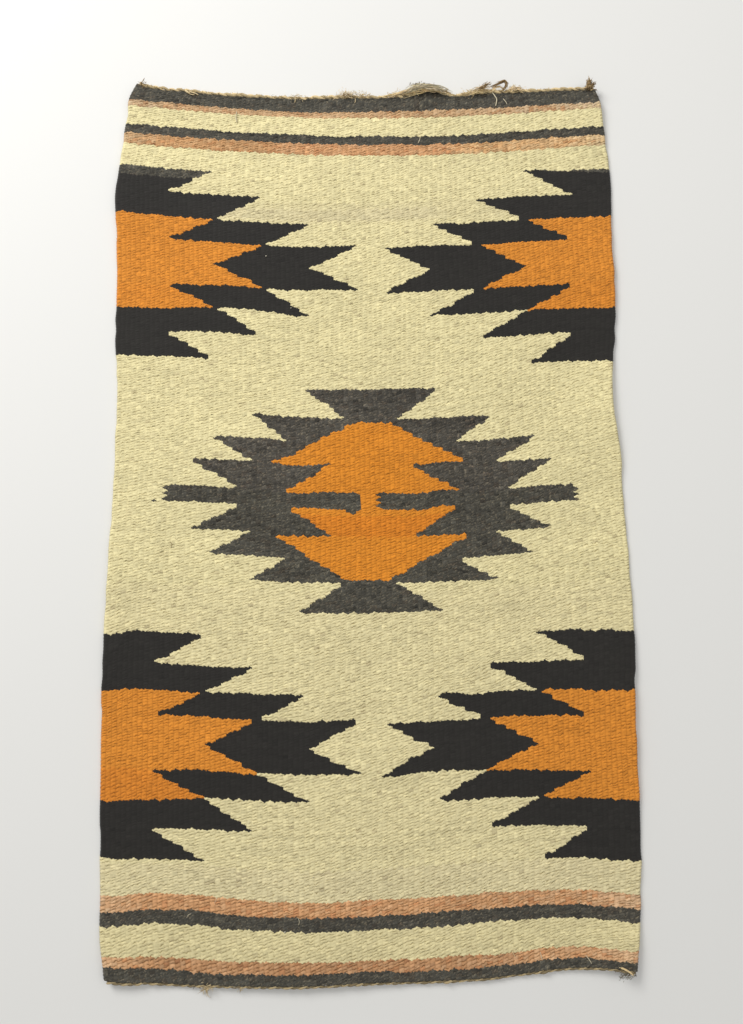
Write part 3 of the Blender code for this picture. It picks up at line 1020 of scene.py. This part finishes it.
def add_object(name, data):
    """Puts a new object in the scene."""
    made = bpy.data.objects.new(name, data)
    bpy.context.scene.collection.objects.link(made)
    return made


def add_piece(mesh, slot, *nodes):
    """Puts a finished mesh in the scene as a piece that stands for solid nodes, if any."""
    piece = add_object(mesh.name, mesh)
    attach(piece, "root")
    if nodes:
        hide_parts(*nodes)
    return piece


def fine_slab(floats):
    """A closed slab of one face to a float, its face side split into fine columns and rows. It
    runs from -1 to 1 both ways and from 0 to 1 in height."""
    bm = bmesh.new()
    bmesh.ops.create_grid(bm, x_segments=RIBS, y_segments=floats, size=1.0)
    raised = bmesh.ops.extrude_face_region(bm, geom=bm.faces[:])
    face_side = [v for v in raised["geom"] if isinstance(v, bmesh.types.BMVert)]
    bmesh.ops.translate(bm, verts=face_side, vec=(0.0, 0.0, 1.0))

    def split(axis, parts):
        """Splits the face side's edges that keep to one place on an axis."""
        edges = []
        for edge in bm.edges:
            a, b = (vert.co for vert in edge.verts)
            if a.z > 0.5 and b.z > 0.5 and abs(a[axis] - b[axis]) < 1e-6:
                edges.append(edge)
        bmesh.ops.subdivide_edges(bm, edges=edges, cuts=parts - 1, use_grid_fill=True)

    split(1, COLUMNS_PER_RIB)
    split(0, ROWS_PER_FLOAT)
    bmesh.ops.recalc_face_normals(bm, faces=bm.faces)
    return bm


def read_array(items, name, width=1, kind=np.float64):
    values = np.empty(len(items) * width, kind)
    items.foreach_get(name, values)
    return values.reshape(-1, width) if width > 1 else values


def float_number(rib, line):
    """The number along its rib of the float that lies at a weft line."""
    return np.clip(np.floor(line + 0.5 * (rib % 2) + 1e-6), 0, FLOATS).astype(int)


class Band:
    """One band of the cloth, from its slab to its finished mesh."""

    def __init__(self, name, first, last, chart):
        self.first = first
        self.last = last
        self.chart = chart
        bm = fine_slab(last - first)
        self.mesh = bpy.data.meshes.new(name)
        bm.to_mesh(self.mesh)
        bm.free()
        place = read_array(self.mesh.vertices, "co", 3)
        self.ribs = np.rint((place[:, 0] + 1.0) / 2.0 * RIBS * COLUMNS_PER_RIB) / COLUMNS_PER_RIB
        steps = (place[:, 1] + 1.0) / 2.0 * (last - first) * ROWS_PER_FLOAT
        self.lines = first + np.rint(steps) / ROWS_PER_FLOAT
        self.face_side = place[:, 2] > 0.5
        self.corner_verts = read_array(self.mesh.loops, "vertex_index", kind=np.int32)
        self.starts = read_array(self.mesh.polygons, "loop_start", kind=np.int32)
        self.sizes = read_array(self.mesh.polygons, "loop_total", kind=np.int32)

    def over_faces(self, values):
        """The mean of the corners' values, for each face."""
        return np.add.reduceat(values[self.corner_verts], self.starts) / self.sizes

    def face_point(self, ribs, lines):
        """Points of the face side, raised by the yarn that lies there."""
        weave = weave_settings()
        rib = np.clip(np.floor(ribs + 1e-6), 0, RIBS - 1).astype(int)
        within = ribs - rib
        crest = (within > 0.1) & (within < 0.9)
        phase = lines + 0.5 * (rib % 2)
        number = float_number(rib, lines)
        yarn = self.chart.yarns[rib, number]
        rib_height = read_column(YARNS, YARN_COLUMNS, "rib_height")[yarn] * MM
        float_height = read_column(YARNS, YARN_COLUMNS, "float_height")[yarn] * MM
        swell = 0.5 - 0.5 * np.cos(2.0 * math.pi * phase)
        plumpness = np.clip(self.chart.plumpness[rib, number], -PLUMPEST, PLUMPEST)
        plump = 1.0 + PLUMP * plumpness * swell
        relief = np.where(crest, rib_height + float_height * swell * plump, 0.0)
        x, y = weave_point(ribs, lines)
        pitch = FLAT_WIDTH / RIBS
        y = y + np.where(crest, math.tan(weave.lean) * pitch * (within - 0.5), 0.0)
        off_end = np.clip(np.minimum(lines, FLOATS - lines), 0.0, 1.0)
        place = np.where(crest, rib, ribs - 0.5) / RIBS
        crowd = soft_noise(WANDER_SEED + 2, place, lines / FLOATS, CROWD_HILLS)
        y = y + weave.jostle * crowd * off_end
        rim = (ribs <= 0.0) | (ribs >= RIBS) | (lines <= 0.0) | (lines >= FLOATS)
        height = np.where(rim, weave.thickness / 2.0, weave.body + relief)
        return np.stack((x, y, read_hills(SWELLS, x, y) + height), 1) + np.array(SHIFT)

    def underside_point(self, ribs, lines):
        """Points of the underside, drawn in at the rim of the cloth."""
        rounding = weave_settings().rounding
        x, y = weave_point(ribs, lines)
        x = x + rounding * ((ribs <= 0.0) * 1.0 - (ribs >= RIBS) * 1.0)
        y = y + rounding * ((lines <= 0.0) * 1.0 - (lines >= FLOATS) * 1.0)
        return np.stack((x, y, read_hills(SWELLS, x, y)), 1) + np.array(SHIFT)

    def place_verts(self):
        above = self.face_point(self.ribs, self.lines)
        below = self.underside_point(self.ribs, self.lines)
        place = np.where(self.face_side[:, None], above, below)
        self.mesh.vertices.foreach_set("co", place.ravel())

    def join_normals(self):
        """Gives the rows where two bands meet the slope of the whole face, so no seam shows."""
        inner = np.isin(self.lines, (self.first, self.last)) & self.face_side
        inner &= (self.lines > 0.0) & (self.lines < FLOATS)
        inner &= (self.ribs > 0.0) & (self.ribs < RIBS)
        ribs = self.ribs[inner]
        lines = self.lines[inner]
        column = 1.0 / COLUMNS_PER_RIB
        row = 1.0 / ROWS_PER_FLOAT
        across = self.face_point(ribs + column, lines) - self.face_point(ribs - column, lines)
        along = self.face_point(ribs, lines + row) - self.face_point(ribs, lines - row)
        slope = np.cross(across, along)
        normals = np.zeros((len(self.ribs), 3))
        normals[inner] = slope / np.linalg.norm(slope, axis=1)[:, None]
        self.mesh.normals_split_custom_set_from_vertices(normals)

    def round_edges(self, rib, beside, line, flank):
        """The rib whose float each face shows. Where two ribs' yarns differ, the faces between
        them take the yarn that both ribs show just below or just above."""
        yarns = self.chart.yarns
        own = yarns[rib, float_number(rib, line)]
        other = yarns[beside, float_number(beside, line)]
        wanted = own
        for step in (1.0 / ROWS_PER_FLOAT, -1.0 / ROWS_PER_FLOAT):
            near = yarns[rib, float_number(rib, line + step)]
            shared = near == yarns[beside, float_number(beside, line + step)]
            wanted = np.where(shared, near, wanted)
        return np.where(flank & (own != other) & (wanted == other), beside, rib)

    def colour_faces(self, wools):
        """Gives each face the wool and the dye of its float."""
        centre = self.over_faces(self.ribs)
        rib = np.clip(np.floor(centre), 0, RIBS - 1).astype(int)
        line = self.over_faces(self.lines)
        flank = np.abs(np.abs(centre - rib - 0.5) - 1.0 / 3.0) < 0.1
        beside = np.clip(rib + np.where(centre - rib > 0.5, 1, -1), 0, RIBS - 1)
        rib = self.round_edges(rib, beside, line, flank)
        number = float_number(rib, line)
        for wool in wools:
            self.mesh.materials.append(wool)
        yarns = self.chart.yarns[rib, number].astype(np.int32)
        self.mesh.polygons.foreach_set("material_index", yarns)
        dye = np.ones((len(rib), 4), np.float32)
        dye[:, :3] = self.chart.dye[rib, number]
        layer = self.mesh.attributes.new("dye", "FLOAT_COLOR", "FACE")
        layer.data.foreach_set("color", dye.ravel())
        self.face_ribs = np.clip(np.floor(centre), 0, RIBS - 1).astype(int)

    def map_faces(self):
        """The weave map counts ribs and floats. The bake map holds the face, the underside and
        the walls in strips, one above the other."""
        rib = np.repeat(self.face_ribs, self.sizes)
        ribs = self.ribs[self.corner_verts]
        lines = self.lines[self.corner_verts]
        high = self.face_side[self.corner_verts] * 1.0
        level = np.repeat(self.over_faces(self.face_side * 1.0), self.sizes)
        wall = (level > 0.01) & (level < 0.99)
        centre = np.repeat(self.over_faces(self.ribs), self.sizes)
        selvedge = wall & ((centre < 1e-3) | (centre > RIBS - 1e-3))
        end = wall & ~selvedge
        picks = lines + 0.5 * (rib % 2)
        weave_u = np.where(selvedge, rib + 0.3 + 0.4 * high, ribs)
        weave_v = np.where(end, np.floor(picks) + 0.3 + 0.4 * high, picks)
        share_u = ribs / RIBS
        share_v = (lines - self.first) / (self.last - self.first)
        strip = (BAKE_WALLS[1] - BAKE_WALLS[0]) / 4.0
        middle = (self.first + self.last) / 2.0
        line = np.repeat(self.over_faces(self.lines), self.sizes)
        turn = np.where(selvedge, (centre > 1.0) * 1.0, 2.0 + (line > middle))
        bake_u = np.where(selvedge, share_v, share_u)
        face_v = BAKE_FACE[0] + (BAKE_FACE[1] - BAKE_FACE[0]) * share_v
        under_v = BAKE_UNDERSIDE[0] + (BAKE_UNDERSIDE[1] - BAKE_UNDERSIDE[0]) * share_v
        wall_v = BAKE_WALLS[0] + strip * (turn + 0.1 + 0.8 * high)
        bake_v = np.where(wall, wall_v, np.where(level > 0.5, face_v, under_v))
        bake_u = BAKE_MARGIN + (1.0 - 2.0 * BAKE_MARGIN) * bake_u
        for name, u, v in (("weave", weave_u, weave_v), ("OFBake", bake_u, bake_v)):
            layer = self.mesh.uv_layers.new(name=name)
            layer.uv.foreach_set("vector", np.stack((u, v), 1).ravel())

    def finish(self, wools):
        self.place_verts()
        self.colour_faces(wools)
        self.map_faces()
        self.mesh.shade_smooth()
        self.mesh.update()
        self.join_normals()
        piece = add_piece(self.mesh, "woven_wool", "woven_cloth")
        length = FLAT_LENGTH * (self.last - self.first) / FLOATS
        return piece


class RUG_OT_weave_cloth(bpy.types.Operator):
    """Weave the cloth, band by band"""
    bl_idname = "rug.weave_cloth"
    bl_label = "Weave cloth"

    def execute(self, context):
        colours = context.scene.rug_colours
        chart = Chart()
        wools = []
        for row in YARNS:
            wools.append(spun_wool(row, getattr(colours, row[0])))
        for number, name in enumerate(BANDS):
            first = number * BAND_FLOATS
            Band(name, first, first + BAND_FLOATS, chart).finish(wools)
        return {"FINISHED"}


class YarnPiece:
    """A mesh of many yarns and hairs, each a closed tube with pointed ends over the floor."""

    def __init__(self, name):
        self.name = name
        self.bm = bmesh.new()
        self.map = self.bm.loops.layers.uv.new("weave")
        self.dye = self.bm.faces.layers.float_color.new("dye")
        self.materials = []

    def lay(self, route, radii, material, sides=5, tone=(1.0, 1.0, 1.0)):
        """Wraps a grid into a tube along a route. The radius at each end is nothing."""
        if material not in self.materials:
            self.materials.append(material)
        steps = len(route) - 1
        grid = bmesh.ops.create_grid(self.bm, x_segments=steps, y_segments=sides, size=1.0)
        verts = grid["verts"]
        faces = {face for vert in verts for face in vert.link_faces}
        lengths = [0.0]
        for near, far in zip(route, route[1:]):
            lengths.append(lengths[-1] + (far - near).length / MM)
        for face in faces:
            face.smooth = True
            face.material_index = self.materials.index(material)
            face[self.dye] = (*tone, 1.0)
            for loop in face.loops:
                step = round((loop.vert.co.x + 1.0) / 2.0 * steps)
                loop[self.map].uv = (lengths[step], (loop.vert.co.y + 1.0) / 2.0)
        frames = []
        for step in range(steps + 1):
            ahead = route[min(step + 1, steps)] - route[max(step - 1, 0)]
            ahead.normalize()
            up = UP if abs(ahead.z) < 0.9 else Vector((1.0, 0.0, 0.0))
            side = ahead.cross(up).normalized()
            frames.append((side, side.cross(ahead).normalized()))
        for vert in verts:
            step = round((vert.co.x + 1.0) / 2.0 * steps)
            around = math.pi * vert.co.y
            side, up = frames[step]
            spoke = side * math.cos(around) + up * math.sin(around)
            vert.co = route[step] + spoke * radii[step]
            vert.co.z = max(vert.co.z, OVER_FLOOR)

    def finish(self, slot, *nodes):
        bmesh.ops.remove_doubles(self.bm, verts=self.bm.verts, dist=0.002 * MM)
        bmesh.ops.recalc_face_normals(self.bm, faces=self.bm.faces)
        mesh = bpy.data.meshes.new(self.name)
        self.bm.to_mesh(mesh)
        self.bm.free()
        for material in self.materials:
            mesh.materials.append(material)
        return add_piece(mesh, slot, *nodes)


def smooth_route(points, steps):
    """A smooth line through a few points, with some steps between each two."""
    route = []
    last = len(points) - 1
    for i in range(last):
        p0 = points[max(i - 1, 0)]
        p1 = points[i]
        p2 = points[i + 1]
        p3 = points[min(i + 2, last)]
        for step in range(steps):
            t = step / steps
            bend = p1 * 2.0 + (p2 - p0) * t + (p0 * 2.0 - p1 * 5.0 + p2 * 4.0 - p3) * t * t
            route.append((bend + (p1 * 3.0 - p0 - p2 * 3.0 + p3) * t * t * t) * 0.5)
    route.append(points[-1].copy())
    return route


def pointed(radius, count, blunt=0.85):
    """Radii that hold most of the way and close to nothing at both ends."""
    radii = []
    for step in range(count):
        share = step / (count - 1)
        close = math.sin(math.pi * share) ** (1.0 - blunt)
        radii.append(radius * close if 0 < step < count - 1 else 0.0)
    return radii


def stained(dice, tones, least_blue=0.86):
    """A strand's tone between two, a little off its yarn's colour."""
    tone = dice.uniform(*tones)
    return (tone, tone * dice.uniform(0.95, 1.02), tone * dice.uniform(least_blue, 1.05))


def clamp(value, low, high):
    return min(max(value, low), high)


class EndCord:
    """A two-ply cord along one end of the cloth, with cut warps, fuzz and frayed clumps on it."""

    def __init__(self, row, threads):
        self.facts = row_facts(CORD_COLUMNS, row)
        self.end = self.facts["end"]
        self.threads = threads
        self.dice = random.Random(CORD_SEEDS[self.end])
        top = self.end == "top"
        self.way = 1.0 if top else -1.0
        self.line = FLOATS if top else 0.0
        self.corners = row_facts(SIDE_COLUMNS, SIDES[-1 if top else 0])
        self.length = 2.0 * (TOP_HALF_WIDTH if top else BOTTOM_HALF_WIDTH)
        self.radius = self.facts["radius"] * MM
        self.piece = YarnPiece(self.end + "_end_yarn")
        self.bumps = [self.dice.uniform(-1.0, 1.0) for _ in range(CORD_BUMPS)]

    def edge_point(self, share):
        """A point half way up the cloth's end, at a share of the way from the left selvedge,
        and the way outward."""
        ribs = np.clip(np.array((share, share - 0.01, share + 0.01)) * RIBS, 0.02, RIBS - 0.02)
        x, y = weave_point(ribs, np.full(3, float(self.line)))
        height = read_hills(SWELLS, x, y)[0] + weave_settings().thickness / 2.0
        heading = Vector((x[2] - x[1], y[2] - y[1], 0.0)).normalized()
        outward = Vector((-heading.y, heading.x, 0.0)) * self.way
        return Vector((x[0], y[0], height)) + SHIFT, outward

    def share_at(self, across):
        """The share of the way where the end lies a distance across, in mm."""
        left = self.corners["left"]
        share = (across - left) / (self.corners["right"] - left)
        return clamp(share, *CORD_REACH)

    def vary(self, name, share, turn):
        """A value of the cord's make, in metres, which varies smoothly along the cord."""
        spot = share * BUMPS_ALONG + turn * BUMP_SHIFT
        low = int(spot)
        t = ease(spot - low)
        bump = self.bumps[low % CORD_BUMPS] * (1.0 - t) + self.bumps[(low + 1) % CORD_BUMPS] * t
        middle, swing = CORD_MAKE[name]
        return self.radius * (middle + swing * bump)

    def centre(self, share):
        """The cord's middle at a share of the way, and the way outward."""
        point, outward = self.edge_point(share)
        rise = UP * self.vary("up", share, 1)
        return point + outward * self.vary("out", share, 0) + rise, outward

    def lay_plies(self):
        """Two plies that wind round each other, half a turn to a bead."""
        steps = round(self.length / CORD_STEP)
        start, stop = CORD_REACH
        spots = [self.centre(start + (stop - start) * step / steps) for step in range(steps + 1)]
        for ply, tone in enumerate((self.facts["light"], self.facts["dark"])):
            route = []
            radii = []
            for step, (middle, outward) in enumerate(spots):
                share = step / steps
                turn = math.pi * (share * self.length / (self.facts["bead"] * MM) + ply)
                spread = self.vary("spread", share, 2)
                route.append(middle + (outward * math.cos(turn) + UP * math.sin(turn)) * spread)
                radii.append(self.vary("ply", share, 3 + ply))
            radii[0] = 0.0
            radii[-1] = 0.0
            tint = (tone, tone * 0.98, tone * 0.93)
            self.piece.lay(route, radii, self.threads["straw"], 6, tint)

    def aim(self, kind, outward, length, fan=0.0):
        """The way that a loose strand heads, and its reach from a length in mm."""
        facts = row_facts(STRAND_COLUMNS, STRANDS[kind])
        lean = fan + self.dice.uniform(-facts["lean"], facts["lean"])
        side = Vector((outward.y, -outward.x, 0.0))
        heading = outward * math.cos(lean) + side * math.sin(lean)
        return heading, length * MM * self.dice.uniform(facts["shortest"], facts["longest"])

    def lay_strand(self, kind, root, heading, reach, rise, radius, shade):
        """A loose strand that rises from its root, curls and comes down to rest."""
        facts = row_facts(STRAND_COLUMNS, STRANDS[kind])
        side = Vector((heading.y, -heading.x, 0.0))
        bend = facts["curl"] * reach * self.dice.uniform(-1.0, 1.0)
        jitter = reach * STRAND_JITTER
        droop = (root.z - SHIFT.z) * STRAND_DROOP
        points = [root]
        for step in range(1, STRAND_POINTS + 1):
            t = step / STRAND_POINTS
            off = bend * t * t + self.dice.uniform(-jitter, jitter)
            spot = root + heading * (reach * t) + side * off
            height = root.z + rise * math.sin(STRAND_ARCH * t) - droop * t**3
            spot.z = max(height, SHIFT.z + radius)
            points.append(spot)
        route = smooth_route(points, facts["steps"])
        tint = stained(self.dice, STRAND_TONES)
        self.piece.lay(route, pointed(radius, len(route)), self.threads[shade], 3, tint)

    def lay_stubs(self):
        """Cut ends of warp, evenly spaced."""
        count = self.facts["stubs"]
        for number in range(count):
            share = (number + self.dice.uniform(0.2, 0.8)) / count
            root, outward = self.centre(clamp(share, *ROOT_REACH))
            heading, reach = self.aim("stub", outward, self.facts["stub_length"])
            rise = STUB_RISE * self.dice.random()
            self.lay_strand("stub", root, heading, reach, rise, STUB_RADIUS, "straw")

    def lay_hairs(self):
        """Fine hairs all along the cord."""
        for _ in range(self.facts["hairs"]):
            middle, outward = self.centre(self.dice.uniform(*ROOT_REACH))
            heading, reach = self.aim("hair", outward, self.facts["hair_length"])
            lift = UP * self.dice.uniform(-0.4, 0.9)
            root = middle + (lift - outward * 0.5) * self.radius
            rise = reach * self.dice.uniform(-0.1, 0.5)
            shade = "straw" if self.dice.random() < STRAW_HAIRS else "grey"
            self.lay_strand("hair", root, heading, reach, rise, HAIR_RADIUS, shade)

    def lay_clump(self, clump):
        """Strands that fan out from one place, the longest in its middle."""
        for _ in range(clump["strands"]):
            spread = self.dice.uniform(-0.5, 0.5)
            middle, outward = self.centre(self.share_at(clump["across"] + clump["width"] * spread))
            length = clump["length"] * (1.1 - abs(spread))
            heading, reach = self.aim("clump", outward, length, CLUMP_FAN * spread)
            rise = clump["height"] * MM * self.dice.uniform(0.1, 0.8)
            radius = clump["thickness"] * MM * self.dice.uniform(0.55, 1.15)
            root = middle - outward * self.radius
            self.lay_strand("clump", root, heading, reach, rise, radius, clump["shade"])

    def finish(self):
        self.lay_plies()
        self.lay_stubs()
        self.lay_hairs()
        for row in CLUMPS:
            clump = row_facts(CLUMP_COLUMNS, row)
            if clump["end"] == self.end:
                self.lay_clump(clump)
        return self.piece.finish("warp_cord", self.end + "_end_cord")


def stray(dice, swings):
    """A random way off, with its swings along the three axes."""
    return Vector([dice.gauss(0.0, swing) for swing in swings])


def lay_wisp(piece, dice, wisp, threads):
    """A bundle of strands along one route, each a little off it and shorter than it."""
    route = smooth_route([over_cloth(*point) for point in wisp["points"]], 4)
    last = len(route) - 1
    spread = wisp["spread"] * MM
    for _ in range(wisp["strands"]):
        span = round(last * dice.uniform(*WISP_SPAN))
        first = dice.randint(0, last - span)
        off_start = stray(dice, WISP_DRIFT) * spread
        off_stop = stray(dice, WISP_DRIFT) * spread
        sway = stray(dice, WISP_SWAY) * spread
        waves = dice.uniform(*WISP_WAVES)
        phase = dice.uniform(0.0, math.pi)
        strand = []
        for step in range(span + 1):
            t = step / max(span, 1)
            spot = route[first + step] + off_start * (1.0 - t) + off_stop * t
            strand.append(spot + sway * math.sin(math.pi * waves * t + phase))
        radius = wisp["thickness"] * MM * dice.uniform(*WISP_THICKNESS)
        tint = stained(dice, WISP_TONES, 0.85)
        piece.lay(strand, pointed(radius, len(strand)), threads[wisp["shade"]], 3, tint)


def lay_fuzz(piece, dice, patch, threads):
    """Short fine hairs that stand every way in a patch."""
    for _ in range(patch["hairs"]):
        across = patch["across"] + patch["half_width"] * dice.gauss(0.0, 0.5)
        along = patch["along"] + patch["half_height"] * dice.gauss(0.0, 0.5)
        turn = dice.uniform(0.0, 2.0 * math.pi)
        half = dice.uniform(*FUZZ_REACH) / 2.0
        bend = dice.uniform(-FUZZ_TURN, FUZZ_TURN)
        start = dice.uniform(*FUZZ_START)
        points = []
        for step in range(3):
            angle = turn + bend * step
            x = across + half * step * math.cos(angle)
            y = along + half * step * math.sin(angle)
            points.append(over_cloth(x, y, start + FUZZ_ARCH * math.sin(1.5 * step)))
        route = smooth_route(points, 2)
        tone = dice.uniform(*FUZZ_TONES)
        radii = pointed(FUZZ_RADIUS, len(route))
        piece.lay(route, radii, threads[patch["shade"]], 3, (tone, tone, tone))


def lay_thread(piece, thread, threads):
    """A loose thread along the points of its row."""
    route = smooth_route([over_cloth(*point) for point in thread["points"]], 6)
    radii = pointed(thread["thickness"] * MM / 2.0, len(route))
    piece.lay(route, radii, threads[thread["shade"]], 6)


def lay_speck(piece, speck, threads):
    """A speck of lint: a short blunt yarn, raised in the middle."""
    size = speck["size"]
    points = []
    for turn in (-1, 0, 1):
        spot = (speck["across"] + turn * size, speck["along"] + 0.3 * turn * size)
        points.append(over_cloth(*spot, 0.1))
    points[1].z += 0.3 * size * MM
    route = smooth_route(points, 4)
    radii = pointed(0.45 * size * MM, len(route), 0.5)
    piece.lay(route, radii, threads["pale"], 6, LINT_TINT)


class RUG_OT_twine_ends(bpy.types.Operator):
    """Twine the cord and the frayed warp along both ends"""
    bl_idname = "rug.twine_ends"
    bl_label = "Twine end cords"

    def execute(self, context):
        threads = make_threads(context)
        for row in CORDS:
            EndCord(row, threads).finish()
        return {"FINISHED"}


def make_threads(context):
    """The thread materials by name, made once."""
    threads = {}
    for name in ("straw", "brown", "pale", "grey"):
        made = bpy.data.materials.get("thread_" + name)
        threads[name] = made or twisted_yarn(name, getattr(context.scene.rug_colours, name))
    return threads


def over_cloth(across, along, height):
    """A point a little over the cloth's face, from a table's millimetres."""
    x = np.array([across * MM])
    y = np.array([along * MM])
    raised = float(read_hills(SWELLS, x, y)[0]) + height * MM
    spot = Vector((across * MM, along * MM, 0.0))
    spot -= Vector((spot.x - EYE.x, spot.y - EYE.y, 0.0)) * (raised / EYE.z)
    spot.z = max(raised + weave_settings().thickness, 0.4 * MM)
    return spot + SHIFT


class RUG_OT_lay_threads(bpy.types.Operator):
    """Lay the loose threads and specks of lint on the cloth"""
    bl_idname = "rug.lay_threads"
    bl_label = "Lay loose threads"

    def execute(self, context):
        threads = make_threads(context)
        piece = YarnPiece("loose_threads")
        for row in THREADS:
            lay_thread(piece, row_facts(THREAD_COLUMNS, row), threads)
        for row in SPECKS:
            lay_speck(piece, row_facts(SPECK_COLUMNS, row), threads)
        piece.finish("warp_cord")
        dice = random.Random(WANDER_SEED)
        piece = YarnPiece("frayed_warp")
        for row in WISPS:
            lay_wisp(piece, dice, row_facts(WISP_COLUMNS, row), threads)
        for row in FUZZ:
            lay_fuzz(piece, dice, row_facts(FUZZ_COLUMNS, row), threads)
        piece.finish("warp_cord")
        return {"FINISHED"}


def lay_floor(stage):
    """A plain pale floor under the rug."""
    bm = bmesh.new()
    bmesh.ops.create_grid(bm, x_segments=1, y_segments=1, size=stage.floor_reach)
    mesh = bpy.data.meshes.new("floor")
    bm.to_mesh(mesh)
    bm.free()
    plaster = Paint("pale_floor")
    looks = {"Base Color": opaque(stage.floor), "Roughness": 0.85, "Specular IOR Level": 0.2}
    plaster.fill(plaster.shader, looks)
    mesh.materials.append(plaster.material)
    add_object("floor", mesh)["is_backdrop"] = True


def light_sky(scene):
    """Even white light from all sides."""
    world = bpy.data.worlds.new("soft_sky")
    world.use_nodes = True
    sky = world.node_tree.nodes["Background"]
    sky.inputs["Color"].default_value = (1.0, 1.0, 1.0, 1.0)
    sky.inputs["Strength"].default_value = SKY_STRENGTH
    scene.world = world


def hang_light(name, place, size, watts):
    """A square soft light that faces the rug's middle."""
    lamp = bpy.data.lights.new(name, "AREA")
    lamp.shape = "SQUARE"
    lamp.size = size
    lamp.energy = watts
    light = add_object(name, lamp)
    light.location = place
    light.rotation_euler = Vector(place).to_track_quat("Z", "Y").to_euler()


def set_camera(scene, stage):
    """The camera over the rug's middle, leaning towards its top end."""
    lens = bpy.data.cameras.new("camera")
    lens.sensor_fit = "VERTICAL"
    lens.sensor_height = 36.0
    lens.lens = stage.lens
    camera = add_object("camera", lens)
    camera.location = EYE + SHIFT
    camera.rotation_euler = (stage.tilt, 0.0, 0.0)
    scene.camera = camera
    scene.view_settings.view_transform = "Standard"


class RUG_OT_set_stage(bpy.types.Operator):
    """Set the floor, the soft light and the camera"""
    bl_idname = "rug.set_stage"
    bl_label = "Set stage"

    def execute(self, context):
        stage = context.scene.rug_stage
        lay_floor(stage)
        light_sky(context.scene)
        for row in LIGHTS:
            hang_light(**row_facts(LIGHT_COLUMNS, row))
        set_camera(context.scene, stage)
        return {"FINISHED"}


class RUG_PT_sidebar(bpy.types.Panel):
    bl_idname = "RUG_PT_sidebar"
    bl_label = "Wool rug"
    bl_space_type = "VIEW_3D"
    bl_region_type = "UI"
    bl_category = "Rug"

    def draw(self, context):
        layout = self.layout
        for group in (context.scene.rug_weave, context.scene.rug_colours, context.scene.rug_stage):
            box = layout.box()
            for name in group.bl_rna.properties.keys():
                if name not in ("rna_type", "name"):
                    box.prop(group, name)
        for operator in (RUG_OT_weave_cloth, RUG_OT_twine_ends, RUG_OT_lay_threads, RUG_OT_set_stage):
            layout.operator(operator.bl_idname)


CLASSES = (
    RugWeaveSettings,
    RugColourSettings,
    RugStageSettings,
    RUG_OT_weave_cloth,
    RUG_OT_twine_ends,
    RUG_OT_lay_threads,
    RUG_OT_set_stage,
    RUG_PT_sidebar,
)


def register():
    for cls in CLASSES:
        bpy.utils.register_class(cls)
    bpy.types.Scene.rug_weave = bpy.props.PointerProperty(type=RugWeaveSettings)
    bpy.types.Scene.rug_colours = bpy.props.PointerProperty(type=RugColourSettings)
    bpy.types.Scene.rug_stage = bpy.props.PointerProperty(type=RugStageSettings)


def unregister():
    del bpy.types.Scene.rug_weave
    del bpy.types.Scene.rug_colours
    del bpy.types.Scene.rug_stage
    for cls in reversed(CLASSES):
        bpy.utils.unregister_class(cls)


def write_size():
    """The solid model's box and the dressed model's box, as lists of corners."""
    boxes = {"cad": CAD_BOX, "visual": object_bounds()}
    sizes = {name: [list(corner) for corner in box] for name, box in boxes.items()}


def main():
    register()
    bpy.ops.rug.weave_cloth()
    bpy.ops.rug.twine_ends()
    bpy.ops.rug.lay_threads()
    bpy.ops.rug.set_stage()
    write_size()


if __name__ == "__main__":
    main()
